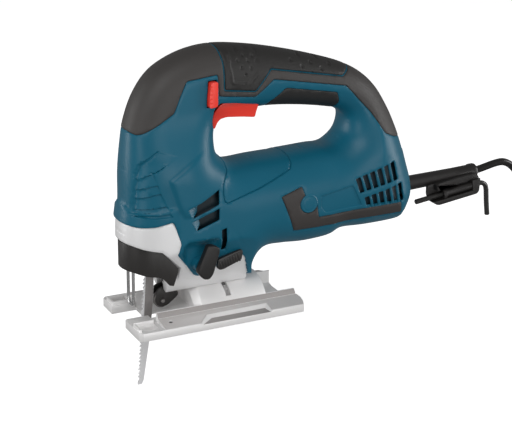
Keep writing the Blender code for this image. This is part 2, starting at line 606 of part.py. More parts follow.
def drive_train():
    """Armature with its pinion, the large gear with its crank pin, plunger, yoke, clamp and blade."""
    z = MOTOR_Z
    pinion = gear_wheel("armature_shaft", PINION_TEETH, MODULE, -22, -6, (0, z), "steel",
                        turn=math.pi / 2)
    join(pinion, bar("journal", (-6.5, 0, z), (140, 0, z), 3.0, collection=CUTTERS, segments=16))
    pivot_at(pinion, (0, 0, z))

    core = bar("armature_core", (40, 0, z), (88, 0, z), 16.0, "steel", segments=36)
    slots = [
        box("slot", (30, -0.9, z + 10.5), (100, 0.9, z + 18), collection=CUTTERS) for _ in range(10)
    ]
    for i, slot in enumerate(slots):
        a = i * math.pi / 5
        slot.location = (0.065, -math.sin(a) * 14.2 * MM, (z + math.cos(a) * 14.2) * MM)
        slot.rotation_euler = (a, 0, 0)
    boolean(core, group("slots", slots))
    cut(core, bar("bore", (30, 0, z), (100, 0, z), 3.3, collection=CUTTERS, segments=16))
    pivot_at(core, (0, 0, z))
    drum = bar("commutator", (96, 0, z), (113, 0, z), 11.0, "copper", segments=24)
    cut(drum, bar("bore", (90, 0, z), (120, 0, z), 3.3, collection=CUTTERS, segments=16))
    pivot_at(drum, (0, 0, z))

    fan = bar("fan", (13, 0, z), (15.5, 0, z), 24.0, "black_plastic", segments=40)
    hub = bar("hub", (12, 0, z), (27, 0, z), 7.0, collection=CUTTERS, segments=20)
    blades = []
    for i in range(9):
        a = i * 2 * math.pi / 9
        one = box("vane", (13, -0.8, 5.5), (26, 0.8, 23), collection=CUTTERS)
        mid = 14.3
        one.location = (0.0195, -math.sin(a) * mid * MM, (z + math.cos(a) * mid) * MM)
        one.rotation_euler = (a, 0, 0)
        blades.append(one)
    join(fan, hub, group("vanes", blades))
    cut(fan, bar("bore", (5, 0, z), (40, 0, z), 3.3, collection=CUTTERS, segments=16))
    pivot_at(fan, (0, 0, z))

    stator = bar("stator", (38, 0, z), (90, 0, z), 25.6, "steel", segments=36)
    cut(
        stator,
        bar("bore", (30, 0, z), (100, 0, z), 17.0, collection=CUTTERS, segments=36),
        box("flat_a", (30, 22.5, 0), (100, 40, 200), collection=CUTTERS),
        box("flat_b", (30, -40, 0), (100, -22.5, 200), collection=CUTTERS),
    )
    for name, x0, x1 in (("front_bearing", 2, 8), ("rear_bearing", 128, 134)):
        ring = bar(name, (x0, 0, z), (x1, 0, z), 9.0, "steel", segments=24)
        cut(ring, bar("bore", (x0 - 5, 0, z), (x1 + 5, 0, z), 3.3, collection=CUTTERS, segments=16))
    for name, s in (("left", -1), ("right", 1)):
        y0, y1 = sorted((s * 13.5, s * 24.5))
        holder = box("brush_holder_" + name, (99, y0, z - 5), (110, y1, z + 5), "copper")
        cut(holder, box("bore", (101, y0 - 5, z - 3), (108, y1 + 5, z + 3), collection=CUTTERS))
        y0, y1 = sorted((s * 11.4, s * 21))
        box("carbon_brush_" + name, (101.3, y0, z - 2.7), (107.7, y1, z + 2.7), "black_plastic")

    wheel = gear_wheel("large_gear", GEAR_TEETH, MODULE, -21, -12, (0, GEAR_Z), "steel",
                       turn=-math.pi / 2 + math.pi / GEAR_TEETH)
    crank = STROKE / 2
    join(wheel, bar("crank", (-30, crank, GEAR_Z), (-16.4, crank, GEAR_Z), 3.0, collection=CUTTERS, segments=16))
    cut(wheel, bar("bore", (-30, 0, GEAR_Z), (0, 0, GEAR_Z), 4.3, collection=CUTTERS, segments=20))
    lighten = [
        bar("hole", (-30, 12.5 * math.cos(a), GEAR_Z + 12.5 * math.sin(a)),
            (0, 12.5 * math.cos(a), GEAR_Z + 12.5 * math.sin(a)), 3.4, collection=CUTTERS, segments=14)
        for a in np.arange(4) * math.pi / 3 + math.pi / 2
    ]
    boolean(wheel, group("lighten", lighten))
    pivot_at(wheel, (-16, 0, GEAR_Z))
    bar("gear_shaft", (-22, 0, GEAR_Z), (-3, 0, GEAR_Z), 4.0, "steel", segments=20)

    rod = bar("plunger", (PLUNGER_X, 0, 50), (PLUNGER_X, 0, 124), 4.5, "steel", segments=20)
    yoke = box("yoke", (-37.5, -16.5, GEAR_Z - 6.5), (-31.5, 16.5, GEAR_Z + 6.5), collection=CUTTERS)
    neck = box("neck", (-44, -4.5, GEAR_Z - 6.5), (-36, 4.5, GEAR_Z + 6.5), collection=CUTTERS)
    join(rod, yoke, neck)
    cut(rod, box("yoke_slot", (-34.5, -13.8, GEAR_Z - 3.4), (-30, 13.8, GEAR_Z + 3.4), collection=CUTTERS))
    pivot_at(rod, (PLUNGER_X, 0, GEAR_Z))
    clamp = box("blade_clamp", (-50, -7, 41), (-36.5, 7, 49.7), "steel", bevel=1.5)
    cut(clamp, box("slot", (-48.6, -0.95, 38), (-39.2, 0.95, 47), collection=CUTTERS))
    for name, z0, z1 in (("plunger_guide_low", 68.5, 80), ("plunger_guide_high", 134, 134)):
        if z1 - z0 > 1:
            ring = box(name, (-49.2, -8.7, z0), (-36.8, 8.7, z1), "steel", bevel=1)
            cut(ring, bar("bore", (PLUNGER_X, 0, z0 - 9), (PLUNGER_X, 0, z1 + 9), 4.8, collection=CUTTERS))


def blade():
    """T-shank blade: its toothed edge leans forward, its back tapers to the tip."""
    edge_top, edge_tip = (-47.8, 33.0), (-53.4, -50.0)
    n = 27
    pts = [(-40.9, 46.5), (-48.0, 46.5), (-48.0, 37), (-47.8, 34)]
    for i in range(n):
        a = Vector(edge_top).lerp(Vector(edge_tip), i / n)
        b = Vector(edge_top).lerp(Vector(edge_tip), (i + 0.75) / n)
        pts += [(a.x + 1.3, a.y), (b.x - 0.1, b.y)]
    pts += [(-53.6, BLADE_TIP_Z), (-50.6, BLADE_TIP_Z), (-49.0, -49), (-44.4, -20), (-40.6, 14), (-40.0, 30), (-40.2, 37)]
    return prism("blade", pts, -0.6, 0.6, "steel")


def roller_guide():
    """The fork behind the blade with its grooved roller on a pin."""
    x, z = -34.6, 13.6
    wheel = turned("guide_roller", [(1.7, 2.4), (5.2, 2.4), (5.2, 0.6), (4.5, 0.0), (5.2, -0.6), (5.2, -2.4), (1.7, -2.4), (1.7, 2.4)][::1],
                   (x, 0, z), (0, 1, 0), "steel", 24)
    arm = [
        (x - 6.4, z - 1), (x - 5.2, z + 5), (x - 2, z + 9), (x + 3, z + 15), (x + 7, z + 15.5),
        (x + 9, z + 11), (x + 15, z + 8), (x + 14, z + 3), (x + 6.4, z - 2.4), (x + 3, z - 4.8),
        (x - 3.6, z - 4.8),
    ]
    fork = prism("roller_fork", arm, -4.5, 4.5, "black_plastic", bevel=0.8)
    cut(
        fork,
        box("slot", (x - 9, -2.8, z - 9), (x + 6.6, 2.8, z + 30), collection=CUTTERS),
        bar("pin_hole", (x, -9, z), (x, 9, z), 1.7, collection=CUTTERS, segments=14),
    )
    pivot_at(fork, (x + 11, 0, z + 8))
    bar("roller_pin", (x, -5.2, z), (x, 5.2, z), 1.4, "steel", segments=14)
    return wheel


def controls():
    """Trigger with its spring, lock-on button, switch, orbit lever and blower switch."""
    side = [
        (5.2, 141.4), (4.4, 147), (5.0, 153), (8, 160.5), (38.6, 160.5), (39.4, 154), (38, 145.4),
        (26, 146.8), (13.5, 147.6), (9.5, 145.2), (8, 141.6),
    ]
    trigger = prism("trigger", side, -6.8, 6.8, "red_plastic", bevel=0.8)
    pivot_at(trigger, (38, 0, 158))
    spring = [
        (17 + 2.6 * math.cos(t), 2.6 * math.sin(t), 161.6 + 5.2 * t / (8 * math.pi))
        for t in np.linspace(0, 8 * math.pi, 41)
    ]
    tube("trigger_spring", spring, 0.35, "steel", resolution=0)
    switch = box("switch_module", (10, -9, 167.6), (58, 9, 181), "black_plastic", bevel=1)
    side = [(-5.6, 159.2), (1.0, 160), (1.2, 178), (-4.2, 177.6), (-4.6, 172), (-5.4, 166)]
    button = prism("lock_button", side, -21.4, -12.5, "red_plastic", bevel=0.8)

    hub, tip = (-15.0, 47.0), (-9.5, 62.0)
    arm = [
        (hub[0] - 6.2 * math.cos(a), hub[1] - 6.2 * math.sin(a)) for a in np.linspace(-0.5, math.pi + 0.35, 13)
    ]
    arm += [(tip[0] + 5.0 * math.cos(a), tip[1] + 3.4 * math.sin(a)) for a in np.linspace(-0.4, math.pi, 9)]
    lever = prism("orbit_lever", arm, -36.0, -29.2, "black_plastic", bevel=1.4)
    join(lever, bar("hub", (hub[0], -31, hub[1]), (hub[0], -19, hub[1]), 4.0, collection=CUTTERS, segments=18))
    pivot_at(lever, (hub[0], -27, hub[1]))
    slide = [(-2.5, 45), (-1.5, 50.2), (17.0, 55.0), (17.5, 53.5), (14.6, 48.8), (-1, 43)]
    prism("blower_switch", slide, -29.6, -25.0, "black_plastic", bevel=0.6)


def foot():
    """The cast foot: two trays joined by a floor, with a hollow arch that the nose tilts on."""
    hl, hw = FOOT_L / 2, FOOT_W / 2
    plan = [
        (-hl, -hw), (hl, -hw), (hl + 3.5, -30), (hl + 3.5, 30), (hl, hw), (-hl, hw), (-hl, 17.6),
        (-47, 17.6), (-47, 5.5), (-38.5, 5.5), (-38.5, -5.5), (-47, -5.5), (-47, -8), (-hl, -8),
    ]
    plate = prism("foot_plate", plan, 0, LIP_Z, "cast_aluminium", plane="XY")
    arch = bar("arch", (ARCH_X0, 0, 0), (ARCH_X1, 0, 0), ARCH_R, collection=CUTTERS, segments=64)
    boolean(arch, box("above", (-90, -60, 1), (90, 60, 60), collection=CUTTERS), "INTERSECT")
    for s in (-1, 1):
        lo, hi = sorted((s * 24.2, s * 35.8))
        cut(plate, box("tray", (-41, lo, TRAY_Z), (hl - 1.5, hi, 30), collection=CUTTERS))
        lo, hi = sorted((s * 24.2, s * 35.8))
        cut(plate, box("pocket", (-63, lo + 0.4, TRAY_Z), (-50, hi - 1.5, 30), collection=CUTTERS))
    cut(plate, box("middle", (-48, -RIDGE_Y + 1.6, 2.4), (hl + 9, RIDGE_Y - 1.6, 30), collection=CUTTERS))
    join(plate, arch)
    cut(
        plate,
        bar("arch_inside", (-20, 0, 0), (60, 0, 0), ARCH_R - 2.6, collection=CUTTERS, segments=48),
    )
    floor = box("arch_floor", (-20, -21.4, 0), (60, 21.4, 2.2), collection=CUTTERS)
    join(plate, floor)
    ribs = []
    for s in (-1, 1):
        ribs.append(
            prism("rib", [(-24, s * 36.5), (-21, s * 36.5), (-12, s * 31.5), (38, s * 31.5), (38, s * 36.5), (40, s * 36.5), (40, s * 29.5), (-13, s * 29.5)],
                  TRAY_Z - 1, LIP_Z - 0.4, collection=CUTTERS, plane="XY")
        )
    boolean(plate, group("ribs", ribs), "UNION")
    holes = [bar("hole", (-39, -29, -9), (-39, -29, 9), 1.6, collection=CUTTERS, segments=14)]
    # The arch is slotted across, so that the clamp screw rides in it while the foot tilts.
    slot = box("slot", (9.4, -23, 10), (14.6, 23, 60), collection=CUTTERS)
    boolean(slot, bar("low", (0, 0, 0), (30, 0, 0), ARCH_R - 5, collection=CUTTERS, segments=40))
    holes.append(slot)
    holes.append(box("key_window", (6, -9, -9), (18, 9, 9), collection=CUTTERS))
    cut(plate, *holes)
    return pivot_at(plate, (0, 0, 0))


def bevel_clamp():
    """The screw that draws the foot's arch against the nose."""
    screw = bar("bevel_screw", (12, 0, 15.5), (12, 0, 44), 2.0, "steel", segments=16)
    join(screw, bar("head", (12, 0, 12.8), (12, 0, 16.4), 4.4, collection=CUTTERS, segments=18))
    saddle = bar("clamp_washer", (7, 0, 0), (17, 0, 0), ARCH_R - 2.9, "steel", segments=64)
    boolean(saddle, bar("inner", (0, 0, 0), (40, 0, 0), ARCH_R - 4.6, collection=CUTTERS, segments=48))
    boolean(saddle, box("keep", (0, -6, 15), (30, 6, 40), collection=CUTTERS), "INTERSECT")
    cut(saddle, bar("bore", (12, 0, 0), (12, 0, 60), 2.4, collection=CUTTERS, segments=16))


def strain_relief():
    """The cord's boot, the key holder moulded under it, and the hex key."""
    boot = turned(
        "cord_boot",
        [(3.3, 62), (5.2, 62), (5.2, 2.5), (8.2, 2.4), (8.2, -1.0), (5.0, -1.0), (5.0, -6), (3.3, -6), (3.3, 62)],
        (177.0, 0, 74.5), (0.999, 0, 0.035), "rubber_cord", 20)
    holder = prism(
        "key_holder",
        [(192.5, 66.5), (196, 57.5), (201, 54.6), (231, 60), (239, 63), (239, 70.5), (214, 70.0)],
        -12.6, -4.9, "rubber_cord", bevel=1.2)
    key_r = 2.0
    a, b = Vector((178.5, -9, 61.2)), Vector((240.6, -9, 69.2))
    cut(holder, bar("bore", a - (b - a) * 0.1, b + (b - a) * 0.1, key_r + 0.35, collection=CUTTERS, segments=12))
    path = [tuple(a), (220, -9, 66.55), (237, -9, 68.73), (241.5, -9, 68.7), (244.6, -9, 66.6), (245.8, -9, 63), (248.6, -9, 41)]
    tube("hex_key", path, key_r, "black_plastic", resolution=1)
    box("cord_clamp", (150, -9, 66), (160, 9, 69.5), "black_plastic", bevel=0.8)
    return boot


def route():
    """The cord's run from the boot, up a little, over and down to where it lies beside its coil."""
    hand = [
        (239.4, 0, 76.7), (245, 0, 77.5), (252, 0, 78.9), (259.5, 0, 80.3), (266.8, 0, 80.6),
        (273.2, -0.2, 78.2), (278.6, -1, 73.6), (282.8, -2.2, 67.2), (286.2, -4, 58.4),
        (289.2, -7, 46), (292.4, -11.5, 28), (295.8, -17, 8), (299.8, -24, -12.5),
        (304.6, -31.5, -31), (311, -39, -44.5), (320.5, -45, -51.4), (333, -48.6, -52.7),
        (347, -49.6, -52.7),
    ]
    pts = np.array(hand, float)
    out = []
    for i in range(len(pts) - 1):
        p0, p1 = pts[max(i - 1, 0)], pts[i]
        p2, p3 = pts[i + 1], pts[min(i + 2, len(pts) - 1)]
        for t in np.linspace(0, 1, 2, endpoint=False):
            out.append(0.5 * (2 * p1 + (p2 - p0) * t + (2 * p0 - 5 * p1 + 4 * p2 - p3) * t**2
                              + (3 * p1 - p0 - 3 * p2 + p3) * t**3))
    return [tuple(p) for p in out] + [tuple(pts[-1])]


def cord_and_plug():
    """The free cord, its coil with a tie, and the two-blade plug lying on the coil."""
    tube("cord", route(), CORD_D / 2, "rubber_cord", resolution=2)
    x, y = COIL_AT
    low, high = FLOOR_Z + 0.2, FLOOR_Z + 19.5
    turned("cord_coil",
           [(COIL_R - 8, high), (COIL_R + 8, high), (COIL_R + 10.6, high - 3), (COIL_R + 10.6, low + 3),
            (COIL_R + 8, low), (COIL_R - 8, low), (COIL_R - 10.6, low + 3), (COIL_R - 10.6, high - 3),
            (COIL_R - 8, high)],
           (x, y, 0), (0, 0, 1), "rubber_cord", 32)
    px, py = PLUG_AT
    body = box("plug", (px - 16, py - 11.5, high + 0.4), (px + 20, py + 11.5, high + 21), "rubber_cord", bevel=4)
    for name, s in (("plug_blade_a", -1), ("plug_blade_b", 1)):
        yy = py + s * 6.35
        box(name, (px + 20.3, yy - 0.75, high + 7.6), (px + 37.5, yy + 0.75, high + 13.9), "steel")
    return body


def build():
    shell, band = body_pieces()
    housing_halves(shell)
    gear_housing(band)
    blade_lever()
    contact_guard()
    drive_train()
    blade()
    roller_guide()
    controls()
    foot()
    bevel_clamp()
    strain_relief()
    cord_and_plug()


build()
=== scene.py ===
"""Looks of the jigsaw power tool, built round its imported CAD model.

Sizes are in millimetres until they reach a mesh.
"""

import math

import bmesh
import bpy
import numpy as np
from mathutils import Matrix, Vector
from mathutils.geometry import delaunay_2d_cdt


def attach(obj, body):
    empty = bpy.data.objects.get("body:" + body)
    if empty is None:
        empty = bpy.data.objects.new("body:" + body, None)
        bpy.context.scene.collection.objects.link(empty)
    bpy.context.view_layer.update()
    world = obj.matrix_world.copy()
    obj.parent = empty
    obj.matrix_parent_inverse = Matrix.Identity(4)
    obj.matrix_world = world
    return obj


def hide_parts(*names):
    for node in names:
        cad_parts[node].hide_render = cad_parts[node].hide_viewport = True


MM = 0.001
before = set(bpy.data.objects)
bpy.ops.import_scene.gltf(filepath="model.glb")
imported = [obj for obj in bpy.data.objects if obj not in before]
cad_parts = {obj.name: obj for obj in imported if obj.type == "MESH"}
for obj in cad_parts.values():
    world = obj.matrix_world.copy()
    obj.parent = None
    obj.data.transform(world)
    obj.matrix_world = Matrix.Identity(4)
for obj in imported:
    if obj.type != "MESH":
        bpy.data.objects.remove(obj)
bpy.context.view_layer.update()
SCENE = bpy.context.scene
CUT, JOIN, KEEP = "DIFFERENCE", "UNION", "INTERSECT"  # boolean steps
SHARP = 38  # degrees: edges that bend more than this stay sharp


# ---------------------------------------------------------------- materials
MIX_A, MIX_B, MIX_RESULT = 6, 7, 2  # the Mix node's colour sockets
CLOUDS_PER_METRE = 28.0  # how fast a material's tint and gloss drift


def material(name, colour, rough, metal=0.0, bump=0.0, grain=0.25, vary=0.06, rough_vary=0.05,
             spec=0.5, brushed=None):
    """A Principled material with fine relief, a slow change of colour, and an uneven gloss."""
    mat = bpy.data.materials.new(name)
    mat.use_nodes = True
    tree = mat.node_tree
    nodes, links = tree.nodes, tree.links
    shader = nodes["Principled BSDF"]
    shader.inputs["Metallic"].default_value = metal
    shader.inputs["Specular IOR Level"].default_value = spec
    place = nodes.new("ShaderNodeTexCoord")
    slow = nodes.new("ShaderNodeTexNoise")
    slow.inputs["Scale"].default_value = CLOUDS_PER_METRE
    slow.inputs["Detail"].default_value = 4.0
    links.new(place.outputs["Object"], slow.inputs["Vector"])
    tint = nodes.new("ShaderNodeMix")
    tint.data_type = "RGBA"
    dark = tuple(c * (1 - vary) for c in colour) + (1,)
    light = tuple(min(1, c * (1 + vary)) for c in colour) + (1,)
    tint.inputs[MIX_A].default_value, tint.inputs[MIX_B].default_value = dark, light
    links.new(slow.outputs["Fac"], tint.inputs["Factor"])
    links.new(tint.outputs[MIX_RESULT], shader.inputs["Base Color"])
    gloss = nodes.new("ShaderNodeMapRange")
    gloss.inputs["To Min"].default_value = max(0.03, rough - rough_vary)
    gloss.inputs["To Max"].default_value = rough + rough_vary
    links.new(slow.outputs["Fac"], gloss.inputs["Value"])
    links.new(gloss.outputs["Result"], shader.inputs["Roughness"])
    if bump:
        fine = nodes.new("ShaderNodeTexNoise")
        fine.inputs["Scale"].default_value = 1.0 / (grain * MM)
        fine.inputs["Detail"].default_value = 2.0
        where = place.outputs["Object"]
        if brushed:
            stretch = nodes.new("ShaderNodeMapping")
            stretch.inputs["Scale"].default_value = brushed
            links.new(where, stretch.inputs["Vector"])
            where = stretch.outputs["Vector"]
        links.new(where, fine.inputs["Vector"])
        uneven = nodes.new("ShaderNodeBump")
        uneven.inputs["Strength"].default_value = bump
        uneven.inputs["Distance"].default_value = 0.1 * MM
        links.new(fine.outputs["Fac"], uneven.inputs["Height"])
        links.new(uneven.outputs["Normal"], shader.inputs["Normal"])
    return mat


RUBBER = dict(bump=0.35, grain=0.22, vary=0.08)
PLASTIC = dict(bump=0.22, grain=0.3, vary=0.1)
SAND_CAST = dict(metal=0.15, bump=0.3, grain=0.3, vary=0.05)
BLASTED = dict(metal=0.15, bump=0.22, grain=0.28, vary=0.03)

TEAL = material("teal_plastic", (0.0055, 0.112, 0.180), 0.37, bump=0.10, grain=0.35, vary=0.05, spec=0.28)
# A darkened teal for the sheets behind the vents and outlets: painted shade.
TEAL_PAINTED_SHADE = material("teal_plastic_painted_shade", (0.0015, 0.015, 0.024), 0.55, bump=0.10)
GRIP = material("grip_rubber", (0.044, 0.040, 0.038), 0.55, **RUBBER)
PAD = material("pad_rubber", (0.016, 0.0150, 0.0143), 0.52, **RUBBER)
TRIM = material("trim_rubber", (0.036, 0.031, 0.029), 0.60, **RUBBER)
BLACK = material("black_plastic", (0.022, 0.020, 0.019), 0.42, **PLASTIC)
LEVER_BLACK = material("black_plastic_lever", (0.011, 0.010, 0.0097), 0.45, **PLASTIC)
CORD_SKIN = material("cord_rubber", (0.009, 0.008, 0.0075), 0.26, bump=0.05, grain=0.5, vary=0.1)
BOOT_SKIN = material("boot_rubber", (0.014, 0.0125, 0.012), 0.40, bump=0.15, grain=0.3, vary=0.1)
RED = material("red_plastic", (0.95, 0.050, 0.030), 0.34, bump=0.06, grain=0.3, vary=0.04)
CAST = material("cast_aluminium", (0.84, 0.84, 0.845), 0.40, **BLASTED)
CAST_FOOT = material("cast_aluminium_foot", (0.84, 0.83, 0.825), 0.40, **BLASTED)
# Darker, rougher copies of the cast aluminium for the foot's rail tops, walls and pocket floors: the darkening
# is painted shade.
CAST_ROUGH_PAINTED_SHADE = material("cast_aluminium_rough_painted_shade", (0.36, 0.338, 0.33), 0.45, **SAND_CAST)
CAST_TOP_PAINTED_SHADE = material("cast_aluminium_top_painted_shade", (0.66, 0.635, 0.625), 0.45, **SAND_CAST)
STEEL = material("bright_steel", (0.60, 0.60, 0.60), 0.28, metal=1.0, bump=0.2, grain=0.3, vary=0.04,
                 brushed=(1, 1, 0.06))
BLADE_STEEL = material("blade_steel", (0.86, 0.86, 0.87), 0.34, metal=0.3, bump=0.3, vary=0.05,
                       brushed=(1, 1, 0.05))
ROLLER_STEEL = material("roller_steel", (0.22, 0.21, 0.205), 0.36, metal=0.5, bump=0.12, grain=0.3, vary=0.1)
# A darker blade steel for the blade's upper part: painted shade.
SHANK_STEEL_PAINTED_SHADE = material("blade_steel_painted_shade", (0.27, 0.255, 0.25), 0.42, metal=0.3, bump=0.3, vary=0.15)
KEY_STEEL = material("black_oxide_steel", (0.030, 0.029, 0.028), 0.34, metal=0.3, bump=0.12, grain=0.3,
                     vary=0.1)
BRASS = material("nickelled_brass", (0.62, 0.56, 0.42), 0.25, metal=1.0, bump=0.1, grain=0.3, vary=0.04)
COPPER = material("turned_copper", (0.65, 0.30, 0.17), 0.30, metal=1.0, bump=0.25, grain=0.3, vary=0.05,
                  brushed=(1, 0.05, 0.05))
CARBON = material("carbon", (0.02, 0.02, 0.02), 0.62, bump=0.3, grain=0.2, vary=0.1)
LAMINATE = material("laminated_core", (0.24, 0.24, 0.25), 0.4, metal=0.9, bump=0.5, grain=0.35, vary=0.05,
                    brushed=(1, 0.02, 0.02))


# ---------------------------------------------------------------- mesh helpers
def put(name, bm, mat, body, smooth=None, replaces=()):
    """Makes a piece from bmesh data in metres."""
    bmesh.ops.recalc_face_normals(bm, faces=bm.faces)
    mesh = bpy.data.meshes.new(name)
    bm.to_mesh(mesh)
    bm.free()
    return placed(bpy.data.objects.new(name, mesh), mat, body, smooth, replaces)


def placed(piece, mat, body, smooth=None, replaces=()):
    """Gives a piece its material, and says what it rides on and stands for."""
    if piece.name not in SCENE.collection.objects:
        SCENE.collection.objects.link(piece)
    piece.data.materials.clear()
    piece.data.materials.append(mat)
    if smooth is not None:
        softened(piece, smooth)
    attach(piece, body)
    if replaces:
        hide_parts(*replaces)
    return piece


def softened(piece, angle=SHARP):
    """Shades a piece smooth, but for edges that bend more than the angle."""
    piece.data.shade_smooth()
    piece.data.set_sharp_from_angle(angle=math.radians(angle))
    return piece


def prism_bm(outline, lo, hi, plane="XZ"):
    """A prism over an outline. Its plane is XZ, XY or YZ, and it runs from lo to hi along the third axis."""
    def at(p, t):
        x = {"XZ": (p[0], t, p[1]), "XY": (p[0], p[1], t), "YZ": (t, p[0], p[1])}[plane]
        return Vector(x) * MM
    bm = bmesh.new()
    ends = [[bm.verts.new(at(p, t)) for p in outline] for t in (lo, hi)]
    bm.faces.new(ends[0])
    bm.faces.new(ends[1][::-1])
    for i in range(len(outline)):
        j = (i + 1) % len(outline)
        bm.faces.new((ends[0][i], ends[1][i], ends[1][j], ends[0][j]))
    bmesh.ops.recalc_face_normals(bm, faces=bm.faces)
    return bm


def box_bm(lo, hi):
    return prism_bm([(lo[0], lo[1]), (hi[0], lo[1]), (hi[0], hi[1]), (lo[0], hi[1])], lo[2], hi[2], "XY")


def bar_bm(a, b, r, segments=32):
    """A round bar of radius r from a to b."""
    a, b = Vector(a) * MM, Vector(b) * MM
    bm = bmesh.new()
    bmesh.ops.create_cone(bm, cap_ends=True, segments=segments, radius1=r * MM, radius2=r * MM,
                          depth=(b - a).length)
    turn = (b - a).to_track_quat("Z", "Y").to_matrix().to_4x4()
    bmesh.ops.transform(bm, matrix=Matrix.Translation((a + b) / 2) @ turn, verts=bm.verts)
    return bm


def turned_bm(profile, at, axis, segments=48):
    """A body of revolution: profile is (radius, distance along the axis) and may close on the axis."""
    turn = Vector(axis).to_track_quat("Z", "Y").to_matrix()
    bm = bmesh.new()
    rows = []
    for r, z in profile:
        angles = np.linspace(0, 2 * math.pi, segments, endpoint=False) if r else [0]
        rows.append([bm.verts.new((Vector(at) + turn @ Vector((r * math.cos(a), r * math.sin(a), z))) * MM)
                     for a in angles])
    for lower, upper in zip(rows, rows[1:]):
        for i in range(segments):
            j = (i + 1) % segments
            ring = [row[k % len(row)] for row, k in ((lower, i), (lower, j), (upper, j), (upper, i))]
            face = [v for k, v in enumerate(ring) if v not in ring[:k]]
            if len(face) > 2:
                bm.faces.new(face)
    return bm


def cutter(bm):
    """A piece that only shapes others."""
    mesh = bpy.data.meshes.new("cutter")
    bmesh.ops.recalc_face_normals(bm, faces=bm.faces)
    bm.to_mesh(mesh)
    bm.free()
    piece = bpy.data.objects.new("cutter", mesh)
    SCENE.collection.objects.link(piece)
    return piece


def applied(piece):
    """Replaces a piece's mesh with what its modifiers make of it."""
    graph = bpy.context.evaluated_depsgraph_get()
    mesh = bpy.data.meshes.new_from_object(piece.evaluated_get(graph), depsgraph=graph)
    piece.modifiers.clear()
    piece.data = mesh
    return piece


def melted(piece):
    """A shaping piece turned back into bmesh data."""
    bm = bmesh.new()
    bm.from_mesh(piece.data)
    bpy.data.objects.remove(piece, do_unlink=True)
    return bm


def combine(piece, *steps):
    """Boolean steps (operation, bmesh) on a piece, each with the exact solver."""
    for operation, bm in steps:
        other = cutter(bm)
        step = piece.modifiers.new("step", "BOOLEAN")
        step.operation, step.solver, step.object = operation, "EXACT", other
        applied(piece)
        bpy.data.objects.remove(other, do_unlink=True)
    return piece


def rounded(piece, width, segments=3, angle=30):
    """Rounds a piece's edges, so that they catch the light."""
    edge = piece.modifiers.new("rounding", "BEVEL")
    edge.width, edge.segments, edge.limit_method = width * MM, segments, "ANGLE"
    edge.angle_limit, edge.use_clamp_overlap = math.radians(angle), True
    edge.miter_outer = "MITER_ARC"
    return softened(applied(piece))


def curve_tube(name, points, radius, mat, body, replaces):
    data = bpy.data.curves.new(name, "CURVE")
    data.dimensions, data.bevel_depth, data.bevel_resolution = "3D", radius * MM, 5
    data.use_fill_caps = True
    line = data.splines.new("POLY")
    line.points.add(len(points) - 1)
    for p, q in zip(line.points, points):
        p.co = (*(Vector(q) * MM), 1)
    return placed(bpy.data.objects.new(name, data), mat, body, None, replaces)


def ramp(x, a, b):
    """A smooth step from 0 at a to 1 at b."""
    t = np.clip((x - a) / (b - a), 0, 1)
    return t * t * (3 - 2 * t)


def spline(a, b, c, d, parts):
    """Points of the smooth curve from b towards c, between neighbours a and d."""
    return [0.5 * (2 * b + (c - a) * t + (2 * a - 5 * b + 4 * c - d) * t**2 + (3 * b - a - 3 * c + d) * t**3)
            for t in np.linspace(0, 1, parts, endpoint=False)]


def open_curve(points, parts):
    p, out = np.array(points, float), []
    for i in range(len(p) - 1):
        out += spline(p[max(i - 1, 0)], p[i], p[i + 1], p[min(i + 2, len(p) - 1)], parts)
    return np.array(out + [p[-1]])


def corners_rounded(points, radius, parts=5):
    """The outline with each corner that has room for it turned into an arc."""
    p, out = np.array(points, float), []
    for i in range(len(p)):
        a, b, c = p[i - 1], p[i], p[(i + 1) % len(p)]
        la, lc = np.linalg.norm(a - b), np.linalg.norm(c - b)
        r = min(radius, la * 0.4, lc * 0.4)
        s, e = b + (a - b) / la * r, b + (c - b) / lc * r
        for t in np.linspace(0, 1, parts):
            out.append(tuple((1 - t) ** 2 * s + 2 * t * (1 - t) * b + t * t * e))
    return out


# ---------------------------------------------------------------- camera
AZIMUTH, ELEVATION, ROLL, DISTANCE = -0.47145, 0.34132, -0.01396, 1000.0
TARGET = Vector((43.10, 0, 62.95))
FOCAL_PX, FRAME_W = 1341.43, 512
camera = bpy.data.objects.new("camera", bpy.data.cameras.new("camera"))
SCENE.collection.objects.link(camera)
back = Vector((math.sin(AZIMUTH) * math.cos(ELEVATION), -math.cos(AZIMUTH) * math.cos(ELEVATION),
               math.sin(ELEVATION)))
camera.location = (TARGET + back * DISTANCE) * MM
camera.rotation_mode = "QUATERNION"
camera.rotation_quaternion = (-back).to_track_quat("-Z", "Y") @ Matrix.Rotation(-ROLL, 3, "Z").to_quaternion()
camera.data.sensor_width = 36.0
camera.data.lens = FOCAL_PX / FRAME_W * 36.0
camera.data.clip_start, camera.data.clip_end = 0.05, 60
SCENE.camera = camera

# ---------------------------------------------------------------- cord
CORD_D = 6.0
COIL_AT, FLOOR_Z, STEPS = (347.0, 0.0), -56.0, 30  # the coil's middle, the floor, and points in one turn
ROUTE = [
    (239.4, 0, 76.7), (245, 0, 77.5), (252, 0, 78.9), (259.5, 0, 80.3), (266.8, 0, 80.6),
    (273.2, -0.2, 78.2), (278.6, -1, 73.6), (282.8, -2.2, 67.2), (286.2, -4, 58.4),
    (289.2, -7, 46), (292.4, -11.5, 28), (295.8, -17, 8), (299.8, -24, -12.5),
    (304.6, -31.5, -31), (311, -39, -44.5), (320.5, -45, -51.4), (333, -48.6, -52.7),
    (347, -49.6, -52.7),
]
PLUG_AT = (351.0, -32.0, -25.8)


